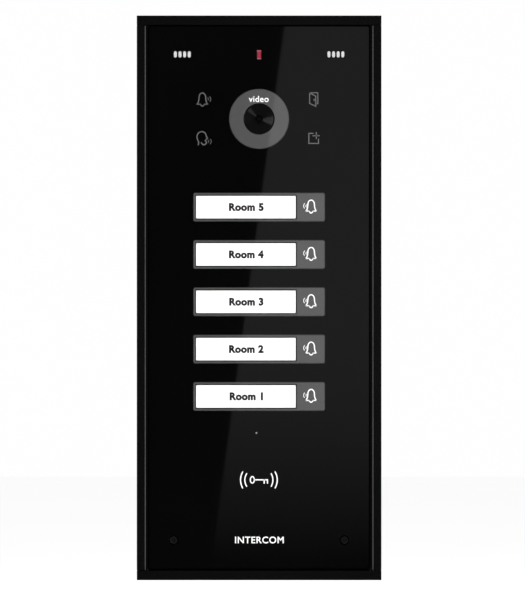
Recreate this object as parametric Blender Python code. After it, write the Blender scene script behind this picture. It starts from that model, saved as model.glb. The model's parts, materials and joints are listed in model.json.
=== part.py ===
"""Door intercom panel: five call keys, camera, speakers, tag reader, in a black aluminium frame.

Frame of the part: +Z up, the visitor stands on the -Y side, the wall is the plane Y = 0.
The origin is the middle of the rear face that lies on the wall. Everything below is written in
millimetres and turned into metres by MM where an object is made.
"""

import math

import bmesh
import bpy
from mathutils import Vector

MM = 0.001

# ---- driving dimensions, millimetres ---------------------------------------------------------
WIDTH, HEIGHT, DEPTH = 130.0, 300.0, 34.0
CAP_H = 5.0                     # height of the top and bottom caps
RAIL_FACE = 4.7                 # flat front of a side rail
RAIL_STEP = 6.0                 # lower step inside the flat front
RAIL_WALL = 1.8
GAP = 0.3                       # assembly gap between pieces that lie against each other

PANEL_W, PANEL_TOP, PANEL_BOTTOM = 116.8, 144.2, -143.8
PANEL_FRONT, PANEL_BACK = -33.2, -30.2
PANEL_CORNER = 0.8

CARRIER_HALF_W, CARRIER_TOP, CARRIER_BOTTOM = 55.5, 143.0, -142.0
CARRIER_FRONT, CARRIER_BACK, CARRIER_PLATE, CARRIER_WALL = -28.8, -14.0, 2.0, 1.8

PIVOT_Y, PIVOT_Z = -26.5, 132.0  # axis the front unit swings about
TRUNNION_R = 1.5

KEY_W, KEY_H, KEY_R = 69.8, 15.1, 1.0
KEY_PITCH, KEY_LOWEST_Z, KEY_COUNT = 25.15, -52.4, 5
KEY_FRONT, KEY_FLANGE = -33.5, 1.3
KEY_STEM_END = -22.2
CARD_W, CARD_H, CARD_X = 52.9, 11.95, -7.0

CAMERA_Z = 95.1
RING_R, RING_HOLE_R = 15.85, 8.3
HOLDER_R = 8.0

SLOT_X, SLOT_Z = 40.8, 129.4
SLOT_PITCH, SLOT_W, SLOT_H, SLOT_COUNT = 2.45, 2.05, 3.7, 4
SPEAKER_X, SPEAKER_Z, SPEAKER_R = 39.9, 126.6, 13.5
HOLDER_POST_X = 21.3             # posts that carry the camera holder by its two ears
SENSOR_Z, SENSOR_W, SENSOR_H = 129.2, 2.5, 4.5
ICON_X, ICON_GUIDE_W, ICON_GUIDE_H = 29.15, 9.6, 31.5
MIC_X, MIC_Z = -1.4, -71.8
COIL_Z = -96.7
LOCK_X, LOCK_Z = 45.4, -128.8
BOARD_HALF_W, BOARD_TOP, BOARD_BOTTOM = 50.0, 78.0, -118.0
BOARD_FRONT, BOARD_BACK = -19.0, -17.4
BOARD_SCREWS = [(-46.0, 72.0), (46.0, 72.0), (-46.0, -112.0), (46.0, -112.0)]

PLATE_HALF_W, PLATE_HALF_H, PLATE_T = 62.9, 144.7, 2.5
WALL_HOLES = [(-38.0, 116.0), (38.0, 116.0), (-38.0, -112.0), (38.0, -112.0)]
CABLE_Z = 45.0
PORT_X, PORT_Y, PORT_R = 61.1, -17.0, 1.45
TAMPER_X, TAMPER_Z = -44.0, 60.0

# ---- clear the scene ----------------------------------------------------------------------------
for old in list(bpy.data.objects):
    bpy.data.objects.remove(old)


# ---- materials ----------------------------------------------------------------------------------
def material(name, colour, rough, metal=0.0, alpha=1.0):
    m = bpy.data.materials.new(name)
    m.use_nodes = True
    shader = m.node_tree.nodes["Principled BSDF"]
    shader.inputs["Base Color"].default_value = (*colour, 1.0)
    shader.inputs["Roughness"].default_value = rough
    shader.inputs["Metallic"].default_value = metal
    shader.inputs["Alpha"].default_value = alpha
    return m


LOOKS = {
    "anodised": ((0.006, 0.006, 0.006), 0.45, 0.7),
    "panel": ((0.002, 0.002, 0.002), 0.04),
    "black_abs": ((0.012, 0.012, 0.012), 0.6),
    "gloss_black": ((0.006, 0.006, 0.006), 0.15),
    "smoke": ((0.1, 0.1, 0.1), 0.2),
    "card": ((0.9, 0.9, 0.9), 0.6),
    "silicone": ((0.35, 0.35, 0.36), 0.6),
    "white": ((0.8, 0.8, 0.8), 0.6),
    "red": ((0.33, 0.03, 0.045), 0.2),
    "clear": ((0.8, 0.82, 0.82), 0.1, 0.0, 0.4),
    "glass": ((0.02, 0.02, 0.05), 0.03),
    "board": ((0.01, 0.11, 0.04), 0.4),
    "zinc": ((0.55, 0.55, 0.55), 0.35, 1.0),
    "black_steel": ((0.015, 0.015, 0.015), 0.4, 0.8),
    "rubber": ((0.015, 0.015, 0.015), 0.8),
    "foam": ((0.05, 0.05, 0.05), 0.95),
    "ribbon": ((0.75, 0.75, 0.72), 0.5),
    "copper": ((0.72, 0.32, 0.14), 0.35, 0.9),
    "terminal": ((0.03, 0.3, 0.08), 0.5),
    "relay": ((0.02, 0.08, 0.32), 0.4),
    "speaker": ((0.12, 0.12, 0.12), 0.45, 0.6),
}


# ---- outlines -----------------------------------------------------------------------------------
def rounded(w, h, r, n=4, cx=0.0, cz=0.0):
    """Rounded rectangle, counter-clockwise seen from -Y, as (x, z) points."""
    points = []
    for sx, sz, start in ((1, -1, -90), (1, 1, 0), (-1, 1, 90), (-1, -1, 180)):
        for i in range(n + 1):
            a = math.radians(start + 90.0 * i / n)
            points.append(
                (cx + sx * (w / 2 - r) + r * math.cos(a), cz + sz * (h / 2 - r) + r * math.sin(a))
            )
    return points


def circle(r, n=32, cx=0.0, cz=0.0):
    return [
        (cx + r * math.cos(2 * math.pi * i / n), cz + r * math.sin(2 * math.pi * i / n))
        for i in range(n)
    ]


# ---- solids, as functions that add one closed shell to a bmesh -------------------------------------
def add_loft(bm, levels):
    """Closed solid through outlines of equal point counts: levels is [(y, [(x, z), ...]), ...]."""
    rings = [[bm.verts.new((x, y, z)) for x, z in outline] for y, outline in levels]
    for a, b in zip(rings, rings[1:]):
        for i in range(len(a)):
            j = (i + 1) % len(a)
            bm.faces.new((a[i], a[j], b[j], b[i]))
    bm.faces.new(rings[0][::-1])
    bm.faces.new(rings[-1])
    return rings


def add_prism(bm, outline, y0, y1):
    add_loft(bm, [(y0, outline), (y1, outline)])


def add_box(bm, x0, x1, y0, y1, z0, z1):
    add_prism(bm, [(x0, z0), (x1, z0), (x1, z1), (x0, z1)], y0, y1)


def add_lathe(bm, profile, centre, axis="Y", n=32):
    """Turned solid about an axis through centre. profile is a closed loop of (radius, along) points;
    points at radius 0 become one vertex on the axis."""
    cx, cy, cz = centre
    rings = []
    for r, t in profile:
        ring = []
        for i in range(n if r > 1e-9 else 1):
            a = 2 * math.pi * i / n
            u, v = r * math.cos(a), r * math.sin(a)
            ring.append(
                bm.verts.new((cx + u, t, cz + v) if axis == "Y" else (cx + u, cy + v, t))
            )
        rings.append(ring)
    closed = min(r for r, _ in profile) > 1e-9
    pairs = list(zip(rings, rings[1:])) + ([(rings[-1], rings[0])] if closed else [])
    for a, b in pairs:
        for i in range(n):
            j = (i + 1) % n
            face = []
            for v in (a[i % len(a)], a[j % len(a)], b[j % len(b)], b[i % len(b)]):
                if v not in face:
                    face.append(v)
            if len(face) > 2:
                bm.faces.new(face)


def add_extrusion(bm, outline, z0, z1):
    """Bar of constant section: outline is (x, y) points, run along Z."""
    low = [bm.verts.new((x, y, z0)) for x, y in outline]
    high = [bm.verts.new((x, y, z1)) for x, y in outline]
    for i in range(len(outline)):
        j = (i + 1) % len(outline)
        bm.faces.new((low[i], low[j], high[j], high[i]))
    bm.faces.new(low[::-1])
    bm.faces.new(high)


def add_side_plate(bm, outline, x0, x1):
    """Plate whose outline is (y, z) points, run along X."""
    low = [bm.verts.new((x0, y, z)) for y, z in outline]
    high = [bm.verts.new((x1, y, z)) for y, z in outline]
    for i in range(len(outline)):
        j = (i + 1) % len(outline)
        bm.faces.new((low[i], low[j], high[j], high[i]))
    bm.faces.new(low[::-1])
    bm.faces.new(high)


# ---- objects --------------------------------------------------------------------------------------
ORIGINS = {}


def empty(name, at=(0.0, 0.0, 0.0), parent=None):
    e = bpy.data.objects.new(name, None)
    bpy.context.scene.collection.objects.link(e)
    ORIGINS[name] = Vector(at)
    base = ORIGINS[parent] if parent else Vector((0, 0, 0))
    e.location = (Vector(at) - base) * MM
    if parent:
        e.parent = bpy.data.objects[parent]
    return e


def fill_mesh(fill, label, at):
    """Mesh of what fill adds to a bmesh, moved so that at is its origin, in metres."""
    bm = bmesh.new()
    fill(bm)
    bmesh.ops.recalc_face_normals(bm, faces=bm.faces[:])
    bmesh.ops.translate(bm, verts=bm.verts[:], vec=-Vector(at))
    bmesh.ops.scale(bm, verts=bm.verts[:], vec=(MM, MM, MM))
    mesh = bpy.data.meshes.new(label)
    bm.to_mesh(mesh)
    bm.free()
    return mesh


def make(name, build, mat, parent, at=(0.0, 0.0, 0.0), steps=(), bevel=0.0):
    """One named object. build fills a bmesh; steps are (operation, fill) pairs applied in turn, each
    fill being one closed shell or several that do not meet."""
    obj = bpy.data.objects.new(name, fill_mesh(build, name, at))
    bpy.context.scene.collection.objects.link(obj)
    obj.parent = bpy.data.objects[parent]
    obj.location = (Vector(at) - ORIGINS[parent]) * MM
    obj.data.materials.append(material(name, *LOOKS[mat]))
    if bevel:
        b = obj.modifiers.new("edge", "BEVEL")
        b.width = bevel * MM
        b.segments = 2
        b.limit_method = "ANGLE"
        b.angle_limit = math.radians(40)
    for index, (operation, fill) in enumerate(steps, 1):
        label = f"{name}_{operation.lower()}_{index}"
        tool = bpy.data.objects.new(label, fill_mesh(fill, label, at))
        bpy.context.scene.collection.objects.link(tool)
        tool.parent = obj.parent
        tool.location = obj.location
        tool.hide_render = True
        tool.display_type = "WIRE"
        m = obj.modifiers.new(label, "BOOLEAN")
        m.operation = operation
        m.solver = "EXACT"
        m.object = tool
    obj.data.shade_smooth()
    obj.data.set_sharp_from_angle(angle=math.radians(32))
    return obj


def add_frame(bm, outer, inner, y0, y1):
    """Closed ring of rectangular section between two outlines of equal point counts."""
    rings = [[bm.verts.new((x, y, z)) for x, z in o] for o in (outer, inner) for y in (y0, y1)]
    order = [rings[0], rings[1], rings[3], rings[2]]
    for a, b in zip(order, order[1:] + order[:1]):
        for i in range(len(outer)):
            j = (i + 1) % len(outer)
            bm.faces.new((a[i], a[j], b[j], b[i]))


empty("housing")
empty("front_unit", (0.0, PIVOT_Y, PIVOT_Z))


# ================================ housing, fixed to the wall =======================================
def rail_outline(side):
    """Section of a side rail: flat front with a small chamfer, lower step, screw port, rear ledge.
    The first number of each pair is the distance inwards from the outer face."""
    port = WIDTH / 2 - PORT_X
    mouth = 0.6
    start = math.asin(mouth / PORT_R)
    arc = []
    for i in range(19):
        a = -start - (2 * math.pi - 2 * start) * i / 18
        arc.append((port + PORT_R * math.cos(a), PORT_Y + PORT_R * math.sin(a)))
    u = [
        (0.12, -DEPTH), (RAIL_FACE - 0.4, -DEPTH), (RAIL_FACE, -DEPTH + 0.4), (RAIL_FACE, -32.4),
        (RAIL_STEP - 0.2, -32.4), (RAIL_STEP, -32.2), (RAIL_STEP, -30.0), (RAIL_WALL, -30.0),
        (RAIL_WALL, PORT_Y - 2.8), (6.1, PORT_Y - 2.8), (6.1, PORT_Y - mouth), *arc,
        (6.1, PORT_Y + mouth), (6.1, PORT_Y + 2.8), (RAIL_WALL, PORT_Y + 2.8), (RAIL_WALL, -4.6),
        (6.4, -4.6), (6.4, -PLATE_T - GAP), (RAIL_WALL, -PLATE_T - GAP), (RAIL_WALL, 0.0),
        (0.12, 0.0), (0.0, -0.12), (0.0, -DEPTH + 0.12),
    ]
    return [(side * (WIDTH / 2 - a), y) for a, y in u]


RAIL_END = HEIGHT / 2 - CAP_H - GAP
SIDES = ((-1, "left"), (1, "right"))

for side, label in SIDES:
    make(
        f"side_rail_{label}",
        lambda bm: add_extrusion(bm, rail_outline(side), -RAIL_END, RAIL_END),
        "anodised", "housing", at=(side * WIDTH / 2, -DEPTH / 2, 0.0),
    )

for end, label in ((1, "top"), (-1, "bottom")):
    outer_z, inner_z = end * HEIGHT / 2, end * (HEIGHT / 2 - CAP_H)

    def cap(bm):
        add_box(bm, -WIDTH / 2, WIDTH / 2, -DEPTH, 0.0, *sorted((inner_z, outer_z)))

    def cap_relief(bm):
        """Space behind the front lip that the corner of the front unit sweeps."""
        add_box(bm, -58.8, 58.8, -32.4, -PLATE_T - GAP, *sorted((inner_z - end, inner_z + 1.7 * end)))

    def cap_screw_holes(bm):
        for x in (-PORT_X, PORT_X):
            add_lathe(
                bm,
                [(0, inner_z - end), (1.5, inner_z - end), (1.5, outer_z - 1.9 * end),
                 (3.0, outer_z - 0.35 * end), (3.0, outer_z + end), (0, outer_z + end)],
                (x, PORT_Y, 0), "Z", 24,
            )

    def cap_drains(bm):
        for x in (-24.0, 24.0):
            add_extrusion(bm, rounded(8.0, 2.4, 1.1, 3, x, -22.0), *sorted((outer_z + end, inner_z - end)))

    steps = [("DIFFERENCE", cap_relief), ("DIFFERENCE", cap_screw_holes)]
    if end < 0:
        steps.append(("DIFFERENCE", cap_drains))
    make(f"{label}_cap", cap, "anodised", "housing", at=(0.0, -DEPTH / 2, (inner_z + outer_z) / 2),
         steps=steps, bevel=0.12)

    for side, name in SIDES:
        x = side * PORT_X
        top = outer_z - 0.2 * end

        def cap_screw(bm):
            add_lathe(
                bm,
                [(0, top), (2.6, top), (2.6, top - 0.25 * end), (1.15, top - 1.85 * end),
                 (1.15, top - 11.6 * end), (0.7, top - 12.4 * end), (0, top - 12.4 * end)],
                (x, PORT_Y, 0), "Z", 24,
            )

        def cap_screw_socket(bm):
            hexagon = [(x + 1.0 * math.cos(math.radians(60 * i)), PORT_Y + 1.0 * math.sin(math.radians(60 * i)))
                       for i in range(6)]
            add_extrusion(bm, hexagon, *sorted((outer_z - 1.5 * end, outer_z + 0.5 * end)))

        make(f"cap_screw_{label}_{name}", cap_screw, "black_steel", "housing",
             at=(x, PORT_Y, top), steps=[("DIFFERENCE", cap_screw_socket)])


def plate_groove(bm):
    add_frame(bm, rounded(116.0, 276.0, 6.0, 4), rounded(107.4, 267.4, 3.0, 4), -1.4, 1.0)


def plate_holes(bm):
    add_lathe(bm, [(0, -4.0), (8.0, -4.0), (8.0, -1.3), (11.0, -1.3), (11.0, 1.0), (0, 1.0)],
              (0, 0, CABLE_Z), "Y", 32)
    for x, z in WALL_HOLES:
        add_lathe(bm, [(0, -3.5), (4.2, -3.5), (4.2, -2.4), (2.4, -0.9), (2.4, 1.0), (0, 1.0)],
                  (x, 0, z), "Y", 20)


make("back_plate",
     lambda bm: add_prism(bm, rounded(2 * PLATE_HALF_W, 2 * PLATE_HALF_H, 1.5, 3), -PLATE_T, 0.0),
     "anodised", "housing", steps=[("DIFFERENCE", plate_groove), ("DIFFERENCE", plate_holes)])

make("wall_gasket",
     lambda bm: add_frame(bm, rounded(115.4, 275.4, 5.7, 4), rounded(108.0, 268.0, 3.3, 4), -1.1, -0.05),
     "foam", "housing")

make("cable_grommet",
     lambda bm: add_lathe(bm, [(4.5, -4.3), (9.8, -4.3), (10.4, -3.8), (10.4, -2.8), (7.7, -2.8), (7.7, -1.0),
                               (10.7, -1.0), (10.7, -0.1), (4.5, -0.1)], (0, 0, CABLE_Z), "Y", 32),
     "rubber", "housing", at=(0, 0, CABLE_Z))

for side, label in SIDES:
    x = side * LOCK_X
    # hexagonal post with a threaded bore, riveted to the rear plate
    make(f"lock_post_{label}",
         lambda bm: add_loft(bm, [(y, circle(r, 6, x, LOCK_Z))
                                  for y, r in ((-PLATE_T - GAP, 4.0), (-24.1, 4.0), (-24.4, 3.6))]),
         "zinc", "housing", at=(x, -PLATE_T, LOCK_Z),
         steps=[("DIFFERENCE", lambda bm: add_lathe(
             bm, [(0, -26.0), (1.65, -26.0), (1.65, -13.0), (0, -12.2)], (x, 0, LOCK_Z), "Y", 24))])

    # bent steel bracket whose round eye carries a trunnion of the front unit
    def eye_arm(bm):
        eye = [(PIVOT_Y + 2.9 * math.cos(math.radians(a)), PIVOT_Z + 2.9 * math.sin(math.radians(a)))
               for a in range(90, 271, 15)]
        add_side_plate(bm, [*eye, (-3.8, PIVOT_Z - 2.9), (-3.8, PIVOT_Z + 2.9)],
                       *sorted((side * 56.1, side * 57.6)))

    def bracket_foot(bm):
        add_box(bm, *sorted((side * 44.0, side * 57.6)), -4.3, -PLATE_T - GAP, PIVOT_Z - 7.0, PIVOT_Z + 7.0)

    def eye_hole(bm):
        add_side_plate(bm, [(PIVOT_Y + 1.8 * math.cos(2 * math.pi * i / 24),
                             PIVOT_Z + 1.8 * math.sin(2 * math.pi * i / 24)) for i in range(24)],
                       *sorted((side * 55.0, side * 59.0)))

    make(f"hinge_bracket_{label}", eye_arm, "zinc", "housing", at=(side * 56.8, PIVOT_Y, PIVOT_Z),
         steps=[("UNION", bracket_foot), ("DIFFERENCE", eye_hole)])


# ================================ front unit, swings on its trunnions ================================
KEYS = [(i + 1, KEY_LOWEST_Z + KEY_PITCH * i) for i in range(KEY_COUNT)]
PANEL_MID = (PANEL_TOP + PANEL_BOTTOM) / 2
PLATE_REAR = CARRIER_FRONT + CARRIER_PLATE
SEAT = PANEL_BACK + GAP          # front of everything that lies behind the panel sheet


def slot_centres(side):
    return [side * SLOT_X + SLOT_PITCH * (i - (SLOT_COUNT - 1) / 2) for i in range(SLOT_COUNT)]


def panel(bm):
    w, h = PANEL_W, PANEL_TOP - PANEL_BOTTOM
    add_loft(bm, [
        (PANEL_BACK, rounded(w - 0.4, h - 0.4, PANEL_CORNER, 3, 0, PANEL_MID)),
        (PANEL_BACK - 0.2, rounded(w, h, PANEL_CORNER + 0.2, 3, 0, PANEL_MID)),
        (PANEL_FRONT + 0.3, rounded(w, h, PANEL_CORNER + 0.2, 3, 0, PANEL_MID)),
        (PANEL_FRONT, rounded(w - 0.6, h - 0.6, PANEL_CORNER, 3, 0, PANEL_MID)),
    ])


def panel_cuts(bm):
    y0, y1 = PANEL_FRONT - 1, PANEL_BACK + 1
    for _, z in KEYS:
        add_prism(bm, rounded(KEY_W + 0.6, KEY_H + 0.6, KEY_R + 0.3, 4, 0, z), y0, y1)
    add_prism(bm, circle(RING_R + 0.3, 48, 0, CAMERA_Z), y0, y1)
    for side in (-1, 1):
        for x in slot_centres(side):
            add_prism(bm, rounded(SLOT_W, SLOT_H, SLOT_W / 2 - 0.01, 4, x, SLOT_Z), y0, y1)
        add_prism(bm, circle(2.6, 24, side * LOCK_X, LOCK_Z), y0, y1)
    add_prism(bm, rounded(SENSOR_W + 0.4, SENSOR_H + 0.4, 0.3, 2, 0, SENSOR_Z), y0, y1)
    add_prism(bm, circle(0.9, 16, MIC_X, MIC_Z), y0, y1)


make("front_panel", panel, "panel", "front_unit", at=(0, PANEL_BACK, PANEL_MID),
     steps=[("DIFFERENCE", panel_cuts)])
make("panel_gasket",
     lambda bm: add_frame(bm, rounded(111.0, 283.0, 1.5, 3, 0, PANEL_MID + 0.3),
                          rounded(104.6, 276.6, 1.0, 3, 0, PANEL_MID + 0.3), SEAT, CARRIER_FRONT - GAP),
     "foam", "front_unit", at=(0, PANEL_BACK, PANEL_MID))


# --- carrier: moulded tray that everything in the front unit is fixed to -----------------------------
def tray_inside(bm):
    w = CARRIER_HALF_W - CARRIER_WALL
    add_box(bm, -w, w, PLATE_REAR, 0.0, CARRIER_BOTTOM + CARRIER_WALL, CARRIER_TOP - CARRIER_WALL)


def tray_posts(bm):
    """Board posts, camera posts with their pins, screw sleeves and the two trunnions."""
    for x, z in BOARD_SCREWS:
        add_prism(bm, circle(3.0, 20, x, z), CARRIER_FRONT + 1.0, BOARD_FRONT - GAP)
    for x in (-HOLDER_POST_X, HOLDER_POST_X):
        add_loft(bm, [(CARRIER_FRONT + 1.0, circle(2.0, 16, x, CAMERA_Z)), (-25.4, circle(2.0, 16, x, CAMERA_Z)),
                      (-25.4, circle(0.9, 16, x, CAMERA_Z)), (-23.0, circle(0.9, 16, x, CAMERA_Z))])
    for side in (-1, 1):
        add_prism(bm, circle(2.2, 24, side * LOCK_X, LOCK_Z), -30.6, CARRIER_FRONT + 1.0)
        add_side_plate(bm, [(PIVOT_Y + TRUNNION_R * math.cos(2 * math.pi * i / 24),
                             PIVOT_Z + TRUNNION_R * math.sin(2 * math.pi * i / 24)) for i in range(24)],
                       *sorted((side * (CARRIER_HALF_W - 1.0), side * 58.0)))


def tray_windows(bm):
    y0, y1 = CARRIER_FRONT - 3, PLATE_REAR + 1
    for _, z in KEYS:
        add_prism(bm, rounded(KEY_W + 3.4, KEY_H + 3.4, 1.5, 2, 0, z), y0, y1)
    add_prism(bm, circle(14.6, 40, 0, CAMERA_Z), y0, y1)
    for side in (-1, 1):
        add_prism(bm, rounded(10.5, 5.6, 0.8, 2, side * SLOT_X, SLOT_Z), y0, y1)
        add_prism(bm, circle(1.6, 20, side * LOCK_X, LOCK_Z), y0, y1)
        add_prism(bm, rounded(ICON_GUIDE_W + 0.6, ICON_GUIDE_H + 0.6, 0.8, 2, side * ICON_X, CAMERA_Z), y0, y1)
    add_prism(bm, rounded(4.2, 6.2, 0.5, 2, 0, SENSOR_Z), y0, y1)
    add_prism(bm, circle(2.6, 20, MIC_X, MIC_Z), y0, y1)
    for x, z in BOARD_SCREWS:
        add_prism(bm, circle(1.3, 12, x, z), PLATE_REAR + 1.0, 0.0)


make("carrier",
     lambda bm: add_box(bm, -CARRIER_HALF_W, CARRIER_HALF_W, CARRIER_FRONT, CARRIER_BACK,
                        CARRIER_BOTTOM, CARRIER_TOP),
     "black_abs", "front_unit", at=(0, PLATE_REAR, 0),
     steps=[("DIFFERENCE", tray_inside), ("UNION", tray_posts), ("DIFFERENCE", tray_windows)])

for side, label in SIDES:
    x = side * LOCK_X
    make(f"front_screw_{label}",
         lambda bm: add_lathe(bm, [(0, -32.9), (2.0, -32.9), (2.25, -32.65), (2.25, -30.9), (1.25, -30.9),
                                   (1.25, -19.6), (0.8, -19.0), (0, -19.0)], (x, 0, LOCK_Z), "Y", 24),
         "black_steel", "front_unit", at=(x, -32.9, LOCK_Z),
         steps=[("DIFFERENCE", lambda bm: add_prism(bm, circle(1.15, 6, x, LOCK_Z), -34.0, -31.6))])


# --- camera and its lights ----------------------------------------------------------------------------
make("ring_window",
     lambda bm: add_lathe(bm, [(RING_HOLE_R, PANEL_FRONT), (RING_R - 0.15, PANEL_FRONT),
                               (RING_R, PANEL_FRONT + 0.15), (RING_R, SEAT), (17.6, SEAT), (17.6, -29.1),
                               (RING_HOLE_R, -29.1)], (0, 0, CAMERA_Z), "Y", 48),
     "smoke", "front_unit", at=(0, PANEL_FRONT, CAMERA_Z))


def light_board(bm):
    """Broad board behind the ring and the status windows, with a tongue up to the red window."""
    outline = [(-33.5, -17.5), (33.5, -17.5), (35.5, -15.5), (35.5, 15.5), (33.5, 17.5), (6.0, 17.5),
               (6.0, 39.5), (-6.0, 39.5), (-6.0, 17.5), (-33.5, 17.5), (-35.5, 15.5), (-35.5, -15.5)]
    add_prism(bm, [(x, z + CAMERA_Z) for x, z in outline], -26.5, -25.5)


def light_chips(bm):
    for i in range(8):
        a = math.radians(22.5 + 45 * i)
        x, z = 12.0 * math.cos(a), CAMERA_Z + 12.0 * math.sin(a)
        add_box(bm, x - 1.4, x + 1.4, -27.3, -26.2, z - 1.4, z + 1.4)
    for x in (-ICON_X, ICON_X):
        for z in (CAMERA_Z - 9.0, CAMERA_Z + 9.0):
            add_box(bm, x - 1.4, x + 1.4, -27.3, -26.2, z - 1.4, z + 1.4)
    add_box(bm, -1.2, 1.2, -28.0, -26.2, SENSOR_Z - 1.6, SENSOR_Z + 1.6)


def light_holes(bm):
    add_prism(bm, circle(8.9, 36, 0, CAMERA_Z), -28.0, -24.0)
    for x in (-HOLDER_POST_X, HOLDER_POST_X):
        add_prism(bm, circle(2.4, 16, x, CAMERA_Z), -28.0, -24.0)


make("light_board", light_board, "board", "front_unit", at=(0, -26, CAMERA_Z),
     steps=[("UNION", light_chips), ("DIFFERENCE", light_holes)])


def holder(bm):
    """Black funnel round the lens, with a flange behind the light board."""
    add_lathe(bm, [(7.45, -33.0), (7.8, -33.0), (HOLDER_R, -32.8), (HOLDER_R, -25.1), (11.0, -25.1), (11.0, -23.7),
                   (6.0, -23.7), (6.0, -23.0), (2.0, -23.0), (2.0, -29.6)], (0, 0, CAMERA_Z), "Y", 40)


def holder_ears(bm):
    """Ears on the two posts; the middle is open so that the funnel stays clear."""
    add_frame(bm, rounded(48.0, 6.0, 2.9, 4, 0, CAMERA_Z), rounded(16.0, 4.6, 2.2, 4, 0, CAMERA_Z), -25.0, -23.8)


def holder_feet(bm):
    for x in (-7.6, 7.6):
        for z in (CAMERA_Z - 7.6, CAMERA_Z + 7.6):
            add_loft(bm, [(-24.4, circle(1.3, 12, x, z)), (-17.3, circle(1.3, 12, x, z)),
                          (-17.3, circle(0.6, 12, x, z)), (-15.2, circle(0.6, 12, x, z))])


def holder_pin_holes(bm):
    for x in (-HOLDER_POST_X, HOLDER_POST_X):
        add_prism(bm, circle(1.2, 16, x, CAMERA_Z), -26.0, -22.0)


make("camera_holder", holder, "gloss_black", "front_unit", at=(0, -33.0, CAMERA_Z),
     steps=[("UNION", holder_ears), ("UNION", holder_feet), ("DIFFERENCE", holder_pin_holes)])
make("camera_lens",
     lambda bm: add_lathe(bm, [(0, -28.6), (0.7, -28.55), (1.25, -28.35), (1.7, -28.0), (1.7, -23.4), (0, -23.4)],
                          (0, 0, CAMERA_Z), "Y", 32),
     "glass", "front_unit", at=(0, -26, CAMERA_Z))
make("camera_module",
     lambda bm: add_box(bm, -10.0, 10.0, -17.0, -15.8, CAMERA_Z - 10.0, CAMERA_Z + 10.0),
     "board", "front_unit", at=(0, -17, CAMERA_Z),
     steps=[
         ("UNION", lambda bm: add_box(bm, -5.4, 5.4, -20.0, -16.5, CAMERA_Z - 5.4, CAMERA_Z + 5.4)),
         ("UNION", lambda bm: add_lathe(bm, [(0, -22.7), (4.0, -22.7), (4.0, -19.5), (0, -19.5)],
                                        (0, 0, CAMERA_Z), "Y", 28)),
         ("UNION", lambda bm: add_box(bm, -5.5, 5.5, -16.2, -14.0, CAMERA_Z - 9.6, CAMERA_Z - 6.0)),
         ("DIFFERENCE", lambda bm: [add_prism(bm, circle(1.0, 12, x, CAMERA_Z + z), -18.0, -14.5)
                                    for x in (-7.6, 7.6) for z in (-7.6, 7.6)]),
     ])


def ribbon(bm):
    """Flat flexible cable: a thin strip that bows out to the rear between the connectors it joins."""
    start, end = Vector((-15.1, CAMERA_Z - 10.0)), Vector((-16.4, 74.5))
    c1, c2 = Vector((-14.6, CAMERA_Z - 13.5)), Vector((-13.0, 79.5))
    pts = [(1 - t) ** 3 * start + 3 * (1 - t) ** 2 * t * c1 + 3 * (1 - t) * t * t * c2 + t ** 3 * end
           for t in (i / 14 for i in range(15))]
    near, far = [], []
    for i, p in enumerate(pts):
        d = (pts[min(i + 1, 14)] - pts[max(i - 1, 0)]).normalized()
        n = Vector((-d.y, d.x)) * 0.15
        near.append(tuple(p + n))
        far.append(tuple(p - n))
    add_side_plate(bm, near + far[::-1], -4.0, 4.0)


make("camera_ribbon", ribbon, "ribbon", "front_unit", at=(0, -15, 80))

# --- sound and status windows -----------------------------------------------------------------------------
for side, label in SIDES:
    def insert_pills(bm):
        for x in slot_centres(side):
            add_prism(bm, rounded(SLOT_W - 0.2, SLOT_H - 0.2, SLOT_W / 2 - 0.11, 4, x, SLOT_Z),
                      PANEL_FRONT + 0.1, CARRIER_FRONT - 0.6)

    make(f"sound_insert_{label}",
         lambda bm: add_prism(bm, rounded(12.4, 7.2, 1.0, 3, side * SLOT_X, SLOT_Z), SEAT, CARRIER_FRONT - GAP),
         "white", "front_unit", at=(side * SLOT_X, PANEL_BACK, SLOT_Z), steps=[("UNION", insert_pills)])

    def speaker(bm):
        r, front = SPEAKER_R, PLATE_REAR + GAP
        add_lathe(bm, [(0, -23.6), (4.0, -24.0), (r - 1.8, -25.6), (r - 1.4, front), (r, front),
                       (r, -24.6), (r - 1.0, -24.2), (9.0, -20.6), (8.6, -20.2), (8.6, -16.6), (8.2, -16.2), (0, -16.2)],
                  (side * SPEAKER_X, 0, SPEAKER_Z), "Y", 36)

    make(f"speaker_{label}", speaker, "speaker", "front_unit", at=(side * SPEAKER_X, -22, SPEAKER_Z))
    make(f"status_guide_{label}",
         lambda bm: add_prism(bm, rounded(ICON_GUIDE_W, ICON_GUIDE_H, 0.6, 2, side * ICON_X, CAMERA_Z), SEAT, -27.7),
         "clear", "front_unit", at=(side * ICON_X, -27, CAMERA_Z))

make("mic_boot",
     lambda bm: add_lathe(bm, [(0.8, SEAT), (2.2, SEAT), (2.2, -26.5), (4.6, -26.5), (4.6, -23.0), (3.3, -23.0),
                               (3.3, -26.0), (0.8, -26.0)], (MIC_X, 0, MIC_Z), "Y", 24),
     "rubber", "front_unit", at=(MIC_X, -26, MIC_Z))
make("mic_capsule",
     lambda bm: add_lathe(bm, [(0, -25.7), (3.0, -25.7), (3.0, -23.2), (0, -23.2)], (MIC_X, 0, MIC_Z), "Y", 24),
     "zinc", "front_unit", at=(MIC_X, -24, MIC_Z))
make("sensor_window",
     lambda bm: add_prism(bm, rounded(5.4, 7.4, 0.6, 2, 0, SENSOR_Z), SEAT, CARRIER_FRONT - GAP),
     "red", "front_unit", at=(0, -30, SENSOR_Z),
     steps=[("UNION", lambda bm: add_prism(bm, rounded(SENSOR_W, SENSOR_H, 0.2, 2, 0, SENSOR_Z),
                                           PANEL_FRONT + 0.1, CARRIER_FRONT - 0.6))])
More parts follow.
